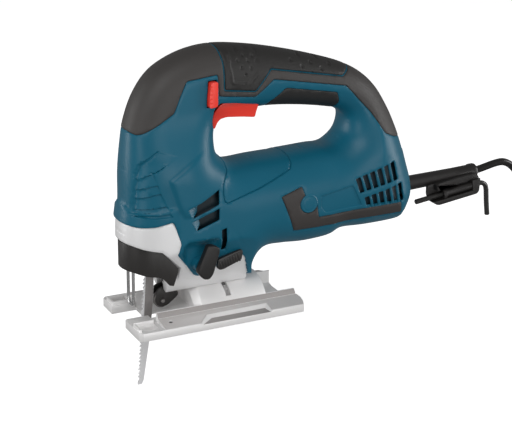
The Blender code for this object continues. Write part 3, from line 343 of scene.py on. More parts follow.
def cord_line():
    """The cord from the boot to the floor, round its coil, and up into the back of the plug."""
    def on_coil(radius, k, z):
        a = -math.pi / 2 + 2 * math.pi * k / STEPS
        return COIL_AT[0] + radius * math.cos(a), COIL_AT[1] + radius * math.sin(a), z

    line = [tuple(p) for p in open_curve(ROUTE, 3)]
    layers = ((-52.7, (40.4, 34, 27.6)), (-46.4, (27.6, 34, 40.4)), (-40.1, (40.4, 34)))
    last = (49.6, -52.7)
    for r, z in [(r, z) for z, radii in layers for r in radii]:
        for k in range(1, STEPS + 1):
            t = ramp(k, 0, 9 if last[0] < 45 else 12)
            line.append(on_coil(last[0] + (r - last[0]) * t, k, last[1] + (z - last[1]) * t))
        last = (r, z)
    px, py, pz = PLUG_AT
    for k in range(1, 27):  # the last turn climbs on to the coil and meets the plug end on
        climb = ramp(k, 10, 26)
        line.append(on_coil(34 - 6.4 * ramp(k, 0, 8) + 4.4 * climb, k, -40.1 + (pz + 40.1) * climb))
    line += [(px - 21, py + 0.2, pz), (px - 16, py, pz)]
    return line


CORD_LINE = cord_line()
cord = curve_tube("power_cord", CORD_LINE, CORD_D / 2, CORD_SKIN, "housing",
                  ("cord", "cord_coil"))


def plug_body():
    """The plug: a moulded body with grip grooves; its two pins are the CAD's."""
    px, py, pz = PLUG_AT
    side = [(-16, 4), (-12, 6), (-4, 9.6), (8, 10.2), (18.5, 10.4), (20, 9), (20, -9), (18.5, -10.4),
            (8, -10.2), (-4, -9.6), (-12, -6), (-16, -4)]
    piece = put("plug_body", prism_bm([(px + x, pz + 0.2 + z) for x, z in side], py - 11.3, py + 11.3),
                BOOT_SKIN, "housing", replaces=("plug",))
    plan = [(px - 17, py - 5), (px - 8, py - 7), (px + 2, py - 11), (px + 21, py - 11.3),
            (px + 21, py + 11.3), (px + 2, py + 11), (px - 8, py + 7), (px - 17, py + 5)]
    combine(piece, (KEEP, prism_bm(plan, pz - 20, pz + 20, "XY")))
    rounded(piece, 1.8, 4)
    for k in range(4):
        for s in (-1, 1):
            x, y = px + 5 + 2.6 * k, py + s * 11.4
            combine(piece, (CUT, box_bm((x, y - 0.6, pz - 6.5), (x + 1.2, y + 0.6, pz + 6.5))))
    return softened(piece)


def cord_tie():
    """A strap round the bundle of turns, on the far side of the coil."""
    at = (COIL_AT[0], COIL_AT[1] + 34, -46.4)
    loops = []
    for half in (11.0, 9.9):
        square = [(-half, -half), (half, -half), (half, half), (-half, half)]
        for x in (-3.5, 3.5):
            loops.append([(at[0] + x, at[1] + y, max(at[2] + z, FLOOR_Z + 0.1))
                          for y, z in corners_rounded(square, 4, 6)])
    bm = bmesh.new()
    rings = [[bm.verts.new(Vector(p) * MM) for p in loops[k]] for k in (0, 1, 3, 2)]
    for lower, upper in zip(rings, rings[1:] + rings[:1]):
        for i in range(len(lower)):
            j = (i + 1) % len(lower)
            bm.faces.new((lower[i], lower[j], upper[j], upper[i]))
    return put("cord_tie", bm, BOOT_SKIN, "housing", 40)


plug = plug_body()
tie = cord_tie()


# ---------------------------------------------------------------- the body's form
HANDLE_HALF, BARREL_HALF = 19.5, 31.5  # half thickness
HANDLE_ROUND, BARREL_ROUND, CROWN = 22.0, 34.0, 2.3  # how far in the rounding reaches, and its power
OUTLINE = [
    (-65.6, 80), (-64.1, 92), (-63.8, 112), (-62.4, 131), (-59.7, 149.8), (-52.8, 168.1), (-42, 183),
    (-28.2, 192.1), (-10.9, 198), (9, 199.9), (35.9, 196.9), (62.9, 191.5), (89.8, 184.5), (111, 177.5),
    (126.4, 169.2), (139, 157.4), (149, 141.6), (155.7, 126.8), (160.9, 112.8), (165.4, 99.1), (169.8, 85),
    (171, 72), (165.6, 57.6), (160, 51.6), (150, 50), (128, 49.6), (108.1, 50.2), (99.6, 46.8),
    (91, 45.2), (74, 44.5), (57.6, 45.6), (42.9, 45.1), (35.8, 37.1), (34.6, 25.8), (29, 25.8), (18, 27),
    (4, 28), (-12, 28), (-26, 29), (-37, 29.5), (-46, 29), (-62, 28), (-66, 40), (-66.3, 66),
]
OPENING = [
    (5.2, 126.6), (10.1, 119.2), (18.7, 114.5), (40, 115.5), (65, 116.2), (88.2, 117.3), (97, 117.2),
    (104.2, 119.0), (111.8, 126), (112.8, 137.2), (106, 143.4), (96.5, 146.1), (75, 149.6), (50, 151.9),
    (30, 151.4), (14, 149.8), (5.6, 142),
]
ZONE_GRIP = [
    (-80, 156), (-66, 150.4), (-61, 145.4), (-57.2, 143.7), (-53, 145.2), (-43.5, 150.2), (-30.7, 157.7),
    (-26.2, 168.9), (-21.1, 179.3), (2.2, 181.9), (3.4, 166.4), (32.3, 162.5), (46, 174.5), (106, 164),
    (126, 143), (137, 126.5), (146, 122.5), (160, 118.5), (190, 112), (190, 230), (-80, 230),
]
ZONE_PAD = [(5, 230), (6.2, 199), (7.3, 190), (7.9, 170.4), (32, 167.3), (44, 182.5), (104, 171.5), (114, 177),
            (120, 190), (120, 230)]
ZONE_UNDER_PAD = [(44, 140), (45, 156), (56.2, 167.2), (99, 159.6), (102.5, 151), (99, 140)]
ZONE_TRIM = [(48, 90), (65, 95.5), (67.5, 88.5), (76, 86.5), (79.4, 70.1), (152, 71.6), (154.5, 62), (60, 61.5)]
ZONE_SILVER = [
    (-80, 80.5), (-58, 79.0), (-48, 80.0), (-37, 82.8), (-35.2, 80.5), (-30, 65), (-32.6, 56.8), (-16.8, 36.2),
    (-12.8, 34.0), (-8.5, 35.0), (1, 41), (17, 50.5), (22.3, 45.5), (30.2, 24), (30.2, 14), (-80, 14),
]
HOOD_SPACE = [(-90, 64.8), (-63, 64.4), (-56, 62.5), (-44, 60.4), (-28, 44.8), (-28, 22.5), (-33, 22.5),
              (-33, 10), (-90, 10)]
EMBLEM_AT, EMBLEM_R = (70.6, 82.0), 7.2
SCREWS, SCREW_R = [(-42, 140), (-13, 185), (113, 162), (149, 118), (165, 66)], 3.6
VENTS = []
for i in range(6):
    x, top, low = 110.0 + 5.9 * i, 95.2 + 1.7 * i, 84.0 + 1.1 * i
    VENTS.append([(x, top), (x + 3.9, top + 1.2), (x + 7.9, low + 0.8), (x + 4.0, low)])
    x, top, low = 118.0 + 5.9 * i, 79.8 + 1.3 * i, 71.5 + 0.12 * i
    VENTS.append([(x, top), (x + 3.9, top + 0.8), (x + 6.9, low + 0.3), (x + 3.2, low)])
OUTLETS = [
    [(-1.1, 102), (-1.7, 91.3), (-21.8, 82.8), (-25.4, 90.4), (-14.9, 94.6)],
    [(-1.4, 88.4), (-1.5, 79.9), (-18.8, 73.5), (-22.1, 80.4), (-12.2, 84.2)],
]
RAMPS = [[(-25.4, 90.4), (-15.4, 94.6), (-17.4, 87.0), (-21.8, 82.8)],
         [(-22.1, 80.4), (-16.1, 82.8), (-15.4, 77.9), (-18.8, 73.5)]]
SLOT = [(0.5, 72.0), (4.3, 73.0), (4.9, 55.6), (1.2, 55.6)]
BUTTON_SLOT = [(-6.2, 158.9), (1.6, 159.3), (1.8, 178.6), (-5.2, 178.2)]


def closed_curve(points, step):
    """A closed smooth curve through the points, evenly spaced."""
    p, fine = np.array(points, float), []
    n = len(p)
    for i in range(n):
        fine += spline(p[i - 1], p[i], p[(i + 1) % n], p[(i + 2) % n], 24)
    return even(np.array(fine + [fine[0]]), step)[:-1]


def even(path, step):
    """Points spaced evenly along a path."""
    s = np.r_[0, np.cumsum(np.hypot(*np.diff(path, axis=0).T))]
    at = np.linspace(0, s[-1], max(2, round(s[-1] / step)) + 1)
    return np.stack([np.interp(at, s, path[:, k]) for k in (0, 1)], 1)


def far(p, loops, closed=True):
    """The distance from each point to the nearest of some paths."""
    p = np.asarray(p, float)
    best = np.full(len(p), 1e9)
    for loop in loops:
        loop = np.asarray(loop, float)
        ends = np.roll(loop, -1, axis=0) if closed else loop[1:]
        for a, b in zip(loop, ends):
            ab = b - a
            t = np.clip(((p - a) @ ab) / (ab @ ab + 1e-12), 0, 1)
            best = np.minimum(best, np.hypot(*(p - a - t[:, None] * ab).T))
    return best


def within(p, loop):
    """Which points lie inside a closed outline."""
    p, loop = np.asarray(p, float), np.asarray(loop, float)
    found = np.zeros(len(p), bool)
    for a, b in zip(loop, np.roll(loop, -1, axis=0)):
        crosses = (a[1] > p[:, 1]) != (b[1] > p[:, 1])
        with np.errstate(divide="ignore", invalid="ignore"):
            x = (b[0] - a[0]) * (p[:, 1] - a[1]) / (b[1] - a[1]) + a[0]
        found ^= crosses & (p[:, 0] < x)
    return found


def groove(d, width):
    """A round-bottomed groove's depth, as a share, at a distance d from its middle."""
    return np.clip(1 - (d / width) ** 2, 0, 1)


def grown(points, by):
    """The outline pushed outwards by a distance."""
    pts = np.array(points, float)
    area = np.sum(pts[:, 0] * np.roll(pts[:, 1], -1) - np.roll(pts[:, 0], -1) * pts[:, 1])
    out = []
    for i in range(len(pts)):
        a, b, c = pts[i - 1], pts[i], pts[(i + 1) % len(pts)]
        n1 = np.array([(b - a)[1], -(b - a)[0]]) / np.linalg.norm(b - a) * np.sign(area)
        n2 = np.array([(c - b)[1], -(c - b)[0]]) / np.linalg.norm(c - b) * np.sign(area)
        out.append(tuple(b + (n1 + n2) / (1 + n1 @ n2) * by))
    return out


OUTER, HOLE = closed_curve(OUTLINE, 1.5), closed_curve(OPENING, 1.5)


def on_body(p):
    return within(p, OUTER) & ~within(p, HOLE)


def half_width(p, d):
    """Half the body's thickness where its side view is at p, d mm in from the outline."""
    x, z = p[:, 0], p[:, 1]
    low, nose = 1 - ramp(z, 108, 158), 1 - ramp(x, -50, 20)
    full = HANDLE_HALF + (BARREL_HALF - HANDLE_HALF) * low - 2.5 * nose * low
    reach = HANDLE_ROUND + (BARREL_ROUND - HANDLE_ROUND) * low
    t = np.clip(d / reach, 0, 1)
    crowned = full * (1 - (1 - t) ** CROWN) ** (1 / CROWN)
    block = (x < 31) & within(p, ZONE_SILVER)
    skirt = np.where(block, 11.8 + 0.484 * (z - 22.4), 13.2 + 0.44 * (z - 22.4))
    lever_bay = 24.0 + 9 * ramp(z, 60, 70) + 9 * ramp(x, -2.0, -0.6) + 9 * ramp(-x, 24, 32)
    return np.minimum(np.minimum(crowned, np.maximum(skirt, 4.0)), np.where(block, 99, lever_bay))


TRIGGER_GAP = [(2.8, 141.2), (0.3, 145.1), (-0.5, 149.8), (0, 155.8), (1.6, 158.9), (4.9, 161), (20.1, 158.8),
               (38.4, 155.2), (39.8, 151.5), (40.5, 148), (30, 146), (14, 145), (9, 141.5), (6.4, 139.8)]
COVER_SEAM = [(8.1, 120.9), (10.1, 116.8), (9.4, 112.3), (5.4, 108.2), (3.0, 104.7), (2.2, 98.2), (3.0, 92.6),
              (4.6, 91.2), (31.6, 98.3), (58.6, 107.9), (60.8, 110.5), (62.2, 114.0), (61.6, 116.6),
              (56.5, 119.6)]
LOUVRES = [(-44.8, 133.0), (-57.1, 123.7), (-58.8, 117.3), (-59.8, 106.2), (-60.5, 86.6), (-50, 86.0),
           (-36.6, 86.4), (-38.7, 90.9), (-44.4, 103.7), (-48.8, 117.7), (-30, 129)]
RAISED = [(-8.7, 132.3), (-38.6, 112.9), (-37.7, 109.7), (-31.9, 91.9), (-28, 84), (4, 84), (4, 132)]
RIB_LINES = [(-57.7, 114.0, -50.3, 118.0), (-59.6, 106.1, -45.4, 110.5), (-59.8, 99.6, -43.2, 104.3),
             (-60.1, 91.6, -40.5, 94.2), (-60.3, 87.4, -42.3, 88.7)]
LABEL = [(80.6, 86.2), (107.6, 91.0), (116.2, 74.2), (84.4, 73.2), (80.8, 77.8)]
CREASE = [(9.5, 73.9), (17.7, 57)]
DIMPLES = [(19.0, 196.6), (27.5, 196.5), (34.7, 195.0), (23.1, 193.2), (30.7, 192.1), (18.4, 190.1),
           (26.3, 189.4), (33.3, 188.1), (21.0, 185.3), (28.4, 184.4), (23.9, 179.9)]
PAD_FRAME = [(12.6, 197.2), (11.2, 188.2), (13.7, 175), (26.5, 173.2), (33.1, 180)]
DOTS = [(-26.2, 56.9), (-22.9, 54.3), (-22.6, 50.6), (-15.8, 67.4), (-6.6, 66.8), (-19.5, 47.4)]


def signed(p, loop):
    """Distance to a closed outline, negative inside."""
    return far(p, [loop]) * np.where(within(p, loop), -1, 1)


def relief(p, right):
    """How far the housing's surface stands out from its plain form, in mm, for its ribs, grooves and bosses."""
    x, z = p[:, 0], p[:, 1]
    left = 0 if right else 1
    collar_top = 88.3 + 9 * ramp(-x, 61, 66.5) + 3.7 * ramp(x, -50, -38)
    out = 1.6 * (1 - ramp(z, collar_top - 0.5, collar_top + 0.6)) * (1 - ramp(x, -40, -30)) * ramp(z, 76, 80)
    saw, above = np.zeros(len(p)), None
    for x0, z0, x1, z1 in RIB_LINES:  # shingles: each one stands out further down to its lower edge
        line = z0 + (z1 - z0) * (x - x0) / (x1 - x0)
        above = line + 9 if above is None else above
        share = np.clip((above - z) / np.maximum(above - line, 1), 0, 1)
        saw += 1.4 * share * (z < above) * ramp(z - line, -0.3, 0.12)
        above = line
    inside = 1 - ramp(signed(p, LOUVRES), -0.7, 0.1)
    out += inside * (-1.5 + saw) * (1 - ramp(x, -44, -36) * 0.4) * (1 - ramp(z, 121, 131) * 0.75)
    out -= 1.0 * groove(far(p, [LOUVRES[:5]], False), 0.8)
    lift = (1 - ramp(signed(p, RAISED), -1.9, 0.2)) * (1 - ramp(x, -26, 2))
    out += 1.7 * lift * (1 - ramp(z, 120, 134)) * ramp(z, 80, 92)
    cover = signed(p, COVER_SEAM)
    out -= 0.95 * groove(far(p, [COVER_SEAM], False), 0.62)
    out -= 0.35 * (1 - ramp(cover, -3.5, -0.5)) * ramp(-cover, 0.0, 0.6)
    out -= 0.8 * (1 - ramp(signed(p, LABEL), -0.35, 0.1)) * left
    disc = np.hypot(x - EMBLEM_AT[0], z - EMBLEM_AT[1])
    out += 0.55 * (1 - ramp(disc, EMBLEM_R - 0.9, EMBLEM_R)) * left
    out -= 0.25 * groove(disc - EMBLEM_R + 1.7, 0.45) * left
    for dx, dz in DOTS:
        out -= 0.5 * np.clip(1 - np.hypot(x - dx, z - dz) / 0.9, 0, 1) * left
    rear = 101.0 + 0.16 * (x - 108)
    out += 0.35 * (1 - ramp(z, rear - 0.9, rear + 0.4)) * ramp(x, 120, 134) * ramp(z, 60, 62)
    return out - 0.3 * groove(far(p, [CREASE], False), 0.6)


def pad_relief(p, _right):
    """Dimples in rows and a raised frame on the handle's top pad."""
    spots = DIMPLES + [(78 + i * 8.2, 183 + j * 3.4 - i * 1.6) for i in range(-3, 4) for j in range(-3, 4)
                       if abs(i) + abs(j) <= 3 and (i + j) % 2 == 0]
    out = 0.6 * (1 - ramp(far(p, [PAD_FRAME], False), 0.4, 1.1))
    for cx, cz in spots:
        out -= 1.2 * groove(np.hypot(p[:, 0] - cx, p[:, 1] - cz), 1.25)
    return out


def circle(at, r, steps=40):
    return [(at[0] + r * math.cos(a), at[1] + r * math.sin(a))
            for a in np.linspace(0, 2 * math.pi, steps, endpoint=False)]


ZONES = {
    "grip": corners_rounded(ZONE_GRIP, 1.6),
    "pad": corners_rounded(ZONE_PAD, 1.2),
    "pad_gap": corners_rounded(grown(ZONE_PAD, 0.8), 1.2),
    "under_pad": corners_rounded(ZONE_UNDER_PAD, 2),
    "trim": corners_rounded(ZONE_TRIM, 1.2),
    "silver": corners_rounded(ZONE_SILVER, 1.5),
    "hood": corners_rounded(HOOD_SPACE, 1.5),
}
HOLES = [corners_rounded(v, 0.5, 3) for v in VENTS] + [corners_rounded(v, 0.8, 3) for v in OUTLETS]
SLOTS = {"slot": corners_rounded(SLOT, 0.8, 3), "button": corners_rounded(BUTTON_SLOT, 0.8, 3)}
BORDERS = [*ZONES.values(), *HOLES, *SLOTS.values(), *RAMPS, TRIGGER_GAP, circle(EMBLEM_AT, EMBLEM_R)]
BORDERS += [circle(at, SCREW_R, 20) for at in SCREWS]


def inset_of(q):
    """How far in from the body's outline and the handle's opening the points lie."""
    return far(q, [OUTER, HOLE])


def side_points():
    """Points and fixed edges for a mesh of the body's side view, close together where the form bends."""
    points, edges = [], []
    for loop in (OUTER, HOLE):
        start = len(points)
        points += [tuple(p) for p in loop]
        edges += [(start + i, start + (i + 1) % len(loop)) for i in range(len(loop))]
    for line in BORDERS:
        path = np.array([*line, line[0]], float)
        dense = [path[0]]
        for a, b in zip(path, path[1:]):
            n = max(1, int(np.ceil(np.hypot(*(b - a)) / 0.12)))
            dense += [a + (b - a) * k / n for k in range(1, n + 1)]
        dense = np.array(dense)
        h = np.where(on_body(dense), half_width(dense, inset_of(dense)), 0)
        keep, corner = [], {tuple(np.round(p, 4)) for p in path}
        for i, p in enumerate(dense):
            is_corner = tuple(np.round(p, 4)) in corner
            if keep and not is_corner and i < len(dense) - 1:
                q = keep[-1]
                if math.dist((*p, h[i]), (*dense[q], h[q])) < 1.1:
                    continue
            keep.append(i)
        start = len(points)
        points += [tuple(dense[i]) for i in keep]
        edges += [(start + i, start + i + 1) for i in range(len(keep) - 1)]
    free = []  # clouds of points, each with the least distance between them

    def beside(line, step, offsets, gap):
        path = even(np.array(line, float), step)
        ahead = np.gradient(path, axis=0)
        n = np.stack([ahead[:, 1], -ahead[:, 0]], 1) / np.hypot(*ahead.T)[:, None]
        free.extend((path + n * off, gap) for off in offsets)

    for loop, sign in ((OUTER, 1), (HOLE, -1)):
        ahead = np.roll(loop, -1, axis=0) - np.roll(loop, 1, axis=0)
        normal = np.stack([ahead[:, 1], -ahead[:, 0]], 1)
        normal /= np.linalg.norm(normal, axis=1)[:, None]
        area = np.sum(loop[:, 0] * np.roll(loop[:, 1], -1) - np.roll(loop[:, 0], -1) * loop[:, 1])
        inward = -normal * np.sign(area) * sign
        for ring in (0.02, 0.12, 0.4, 0.9, 1.7, 2.8, 4.2, 6, 8.2, 11, 14.5, 19):
            free.append((loop + inward * ring, 0.55))
    for line in BORDERS:
        beside([*line, line[0]], 1.3, (0.3, -0.3, 0.8, -0.8), 0.25)
    beside(COVER_SEAM, 1.2, (0, 0.3, -0.3, 0.6, -0.6), 0.22)
    beside(LABEL + LABEL[:1], 1.2, (0, 0.3, -0.3), 0.22)
    beside(LOUVRES + LOUVRES[:1], 1.2, (0, -0.4, 0.4, 0.9, -0.9), 0.22)
    beside(RAISED, 1.2, (0, 1.2, -1.2, 2.4, -2.4), 0.22)
    for x0, z0, x1, z1 in RIB_LINES:
        for off in (-0.12, 0.1, 0.32, -0.8):
            free.append((even(np.array([(x0 - 2, z0 - off), (x1 + 3, z1 - off)]), 1.2), 0.2))
    for cx, cz, r in ((21, 184, 12), (78, 183, 22)):  # the pad's two fields of dimples
        free.append((np.array([(a, b) for a in np.arange(cx - r, cx + r, 0.75)
                               for b in np.arange(cz - 10, cz + 10, 0.75)]), 0.6))
    free.append((np.array([q for r in (4.9, 5.5, 6.1, 6.5) for q in circle(EMBLEM_AT, r)]), 0.3))
    lo, hi = OUTER.min(axis=0), OUTER.max(axis=0)
    free.append((np.array([(x + (0.9 if k % 2 else 0), z) for k, z in enumerate(np.arange(lo[1], hi[1], 1.6))
                           for x in np.arange(lo[0], hi[0], 1.8)]), 1.15))
    taken = {}

    def cell(p3):
        return tuple(math.floor(c / 1.2) for c in p3)

    def crowded(p3, gap):
        c = cell(p3)
        return any(math.dist(p3, q) < gap for i in (-1, 0, 1) for j in (-1, 0, 1) for k in (-1, 0, 1)
                   for q in taken.get((c[0] + i, c[1] + j, c[2] + k), ()))

    first = np.array(points)
    for p, h in zip(first, np.where(on_body(first), half_width(first, inset_of(first)), 0)):
        taken.setdefault(cell((*p, h)), []).append((*p, h))
    for cloud, gap in free:
        cloud = cloud[on_body(cloud)]
        cloud = cloud[inset_of(cloud) > 0.012]
        for p, h in zip(cloud, half_width(cloud, inset_of(cloud))):
            p3 = (float(p[0]), float(p[1]), float(h))
            if not crowded(p3, gap):
                taken.setdefault(cell(p3), []).append(p3)
                points.append(p3[:2])
    return points, edges


def side_mesh():
    """Triangles of the body's side view, with each point's place on the body and its outward direction."""
    points, edges = side_points()
    made = delaunay_2d_cdt([Vector(p) for p in points], edges, [], 0, 1e-5)
    flat = np.array([tuple(v) for v in made[0]])
    tris = np.array([f for f in made[2] if len(f) == 3])
    tris = tris[on_body(flat[tris].mean(axis=1))]
    d = inset_of(flat)
    h = half_width(flat, d)
    h[d < 0.004] = 0
    a, b, c = (flat[tris[:, k]] for k in range(3))
    turn = (b[:, 0] - a[:, 0]) * (c[:, 1] - a[:, 1]) - (b[:, 1] - a[:, 1]) * (c[:, 0] - a[:, 0])
    tris[turn < 0] = tris[turn < 0][:, ::-1]
    place = np.stack([flat[:, 0], -h, flat[:, 1]], 1)
    face = np.cross(place[tris[:, 1]] - place[tris[:, 0]], place[tris[:, 2]] - place[tris[:, 0]])
    normal = np.zeros_like(place)
    for k in range(3):
        np.add.at(normal, tris[:, k], face)
    normal[h == 0, 1] = 0
    length = np.linalg.norm(normal, axis=1)
    normal /= np.where(length > 0, length, 1)[:, None]
    return flat, tris, place, normal, h


FLAT, TRIS, PLACE, NORMAL, HALF = side_mesh()
MID = FLAT[TRIS].mean(axis=1)
IN = {name: within(MID, line) for name, line in {**ZONES, **SLOTS, "trigger": TRIGGER_GAP}.items()}
IN["holes"] = np.any([within(MID, line) for line in HOLES], axis=0)
IN["emblem"] = np.hypot(*(MID - EMBLEM_AT).T) < EMBLEM_R
IN["screws"] = np.min([np.hypot(*(MID - at).T) for at in SCREWS], axis=0) < SCREW_R
TRIM_LEFT = IN["trim"] & ~IN["emblem"]
GRIP_ZONE = IN["grip"] & ~IN["pad_gap"]
SHELL = ~(GRIP_ZONE | IN["pad"] | IN["under_pad"] | IN["silver"] | IN["holes"] | IN["trigger"] | IN["slot"])


def skin(name, chosen, sides, mat, replaces=(), edge=0.9, thick=2.2, raised=0.0, extra=None):
    """A moulded skin: the chosen triangles lifted on to the body, their borders rounded down into the seams."""
    tris = TRIS[chosen]
    used = np.unique(tris)
    pairs = np.sort(np.vstack([tris[:, (0, 1)], tris[:, (1, 2)], tris[:, (2, 0)]]), axis=1)
    one, count = np.unique(pairs, axis=0, return_counts=True)
    border = one[count == 1]
    border = border[HALF[border].max(axis=1) > 0]  # the two sides join along the rim
    p = FLAT[used]
    gap = np.full(len(used), 1e9)
    for i, j in border:
        a, ab = FLAT[i], FLAT[j] - FLAT[i]
        t = np.clip(((p - a) @ ab) / (ab @ ab), 0, 1)
        gap = np.minimum(gap, np.hypot(*(p - a - t[:, None] * ab).T))
    inset = edge - np.sqrt(np.clip(edge**2 - np.clip(edge - gap, 0, edge) ** 2, 0, None))
    bm = bmesh.new()
    rim = {}
    for side in sides:
        out = raised - inset + (extra(p, side > 0) if extra else 0)
        at = PLACE[used] + NORMAL[used] * out[:, None]
        at[HALF[used] == 0, 1] = 0
        at[:, 1] *= -side
        verts = {}
        for k, v in enumerate(used):
            if HALF[v] == 0 and v in rim:
                verts[v] = rim[v]
                continue
            verts[v] = bm.verts.new(at[k] * MM)
            if HALF[v] == 0 and len(sides) > 1:
                rim[v] = verts[v]
        for t in tris:
            bm.faces.new([verts[v] for v in (t if side < 0 else t[::-1])])
    mesh = bpy.data.meshes.new(name)
    bm.to_mesh(mesh)
    bm.free()
    piece = bpy.data.objects.new(name, mesh)
    SCENE.collection.objects.link(piece)
    wall = piece.modifiers.new("wall", "SOLIDIFY")
    wall.thickness, wall.offset = thick * MM, -1
    return placed(applied(piece), mat, "housing", 50, replaces)


LEFT, RIGHT, BOTH = (-1,), (1,), (-1, 1)
skin("shell_left", SHELL & ~TRIM_LEFT & ~IN["button"], LEFT, TEAL, ("housing_left",), 0.6,
     extra=relief)
skin("shell_right", SHELL & ~IN["trim"] & ~IN["screws"], RIGHT, TEAL, ("housing_right",), 0.6,
     extra=relief)
skin("grip_skin", GRIP_ZONE, BOTH, GRIP, ("top_grip",), raised=0.15)
skin("top_pad", IN["pad"], BOTH, PAD, ("handle_pad",), raised=0.2, extra=pad_relief)
skin("under_pad_skin", IN["under_pad"], BOTH, PAD, ("under_pad",), raised=0.1)
skin("trim_left", TRIM_LEFT, LEFT, TRIM, ("side_trim_left",), raised=0.35)
skin("trim_right", IN["trim"], RIGHT, TRIM, ("side_trim_right",), raised=0.35)
skin("nose_band", IN["silver"] & ~IN["hood"], BOTH, CAST, edge=0.8, thick=2.5)

# Sheets inside the walls, so that the vents and outlets look on to an inner wall and not through the body; the
# sheets' dark teal is painted shade.
VENT_SHEET = [(107, 83), (114, 82), (114, 71), (154, 71), (156, 84), (152, 110), (141, 108), (107, 98)]
OUTLET_SHEET = [(-28, 92), (-20, 71.5), (8.6, 74), (8.6, 51), (1, 51), (0.8, 72), (1, 104), (-2, 104),
                (-17, 97)]


def outlet_ramp(p, _right):
    """The outlets' floors slope in from their front edges, where they catch the light."""
    x, z = p[:, 0], p[:, 1]
    front = np.where(z > 81.6, -25.4 + (90.4 - z) * 0.487, -22.1 + (80.4 - z) * 0.471)
    return -0.1 - 0.55 * np.clip(x - front, 0, 9)


skin("vent_sheets", within(MID, VENT_SHEET), BOTH, TEAL_PAINTED_SHADE, edge=0.1, thick=0.6, raised=-3.8)
skin("outlet_sheets", within(MID, OUTLET_SHEET), BOTH, TEAL_PAINTED_SHADE, edge=0.1, thick=0.6, raised=-6.0)
skin("outlet_ramps", within(MID, RAMPS[0]) | within(MID, RAMPS[1]), BOTH, TEAL, edge=0.05, thick=0.6,
     extra=outlet_ramp)


# ---------------------------------------------------------------- gear housing, hood and guard
ARCH_R = 24.0  # the foot's arch, about the tilt axis, which is the X axis


def gear_block():
    """The cast block inside the nose band, seen behind the blade and above the foot's arch."""
    side = [(-31.6, 60.8), (-31.2, 56.8), (-15.8, 37.2), (-12.8, 35.0), (-8.5, 36.0), (1, 42), (17, 50.5),
            (21.8, 45.3), (29.7, 23.6), (29.7, 12), (-33, 12), (-35, 27), (-39, 45), (-50, 60.8)]
    piece = put("gear_block", prism_bm(side, -27, 27), CAST, "housing",
                replaces=("gear_housing",))
    taper = [(25.5, 90), (25.5, 58), (23.3, 46.5), (13.1, 25.4), (10.5, 23.6), (9.5, 22.2), (9.5, 10)]
    taper += [(-y, z) for y, z in taper[::-1]]
    combine(
        piece,
        (KEEP, prism_bm(taper, -60, 60, "YZ")),
        (JOIN, box_bm((-53, -13, 40), (-30, 13, 66))),
        (CUT, bar_bm((-60, 0, 0), (60, 0, 0), ARCH_R + 0.3, 96)),
        (CUT, box_bm((-51.2, -9, 30), (-34.2, 9, 100))),
        (CUT, box_bm((-37, -6, 12), (-16, 6, 36))),
    )
    space = cutter(prism_bm(HOOD_SPACE[:5] + [(-28, 10), (-90, 10)], -60, 60))
    combine(space, (CUT, prism_bm(hood_plan(5.2, -10), 0, 90, "XY")))
    combine(piece, (CUT, melted(space)))
    return rounded(piece, 0.6, 2)


def hood_plan(inset, x_back):
    """The hood's plan, shrunk by inset: a round front, a crease on each side, and sides that spread."""
    arc = [(-44 - (21.6 - inset) * math.cos(a), -(20.6 - inset) * math.sin(a))
           for a in np.linspace(-1.57, 1.57, 41)]
    return [(x_back, 24.4 - inset), *arc, (x_back, -24.4 + inset)]


def nose_screw():
    """The small boss and screw in front of the block, just behind the roller."""
    profile = [(0, 0.9), (0.9, 0.9), (0.9, 1.6), (1.6, 1.6), (1.9, 1.2), (1.9, -1.5), (0, -1.5)]
    put("nose_screw", turned_bm(profile, (-31.5, -9.4, 24.8), (-0.5, -0.86, 0), 28), CAST, "housing",
        40)


def hood():
    """The blade-release hood: a half round shell whose lower edge steps up over the blade."""
    side = [(-70, 63.8), (-62, 63.4), (-56.5, 61.8), (-50, 60.8), (-44, 59.7), (-41, 57.4), (-30.2, 45.4),
            (-30.6, 42.0), (-33.7, 32.0), (-36.6, 32.6), (-40.4, 37.2), (-44, 39.3), (-53, 40.8), (-60, 43.0),
            (-70, 44.6)]
    piece = put("release_hood", prism_bm(hood_plan(0, -28), 28, 68, "XY"), BLACK, "blade_lever",
                replaces=("blade_lever",))
    combine(piece, (CUT, prism_bm(hood_plan(2.4, -20), 20, 80, "XY")),
            (KEEP, prism_bm(side, -60, 60)))
    return rounded(piece, 0.8, 3)


def guard():
    """The bent wire in front of the blade, held in a small bridge under the hood."""
    x, y = -57.6, 5.0
    line = [(x, y, 46), (x, y, 34), (x, y, 22)]
    line += [(x, y * math.cos(a), 18.5 - 4.6 * math.sin(a)) for a in np.linspace(0.0, math.pi, 15)]
    line += [(x, -y, 22), (x, -y, 34), (x, -y, 46)]
    curve_tube("guard_wire", line, 1.15, STEEL, "housing", ("contact_guard",))
    bridge = put("guard_bridge", box_bm((x - 2.6, -7.6, 43.5), (-53.5, 7.6, 50)), BLACK, "housing")
    rounded(bridge, 1.0, 3)


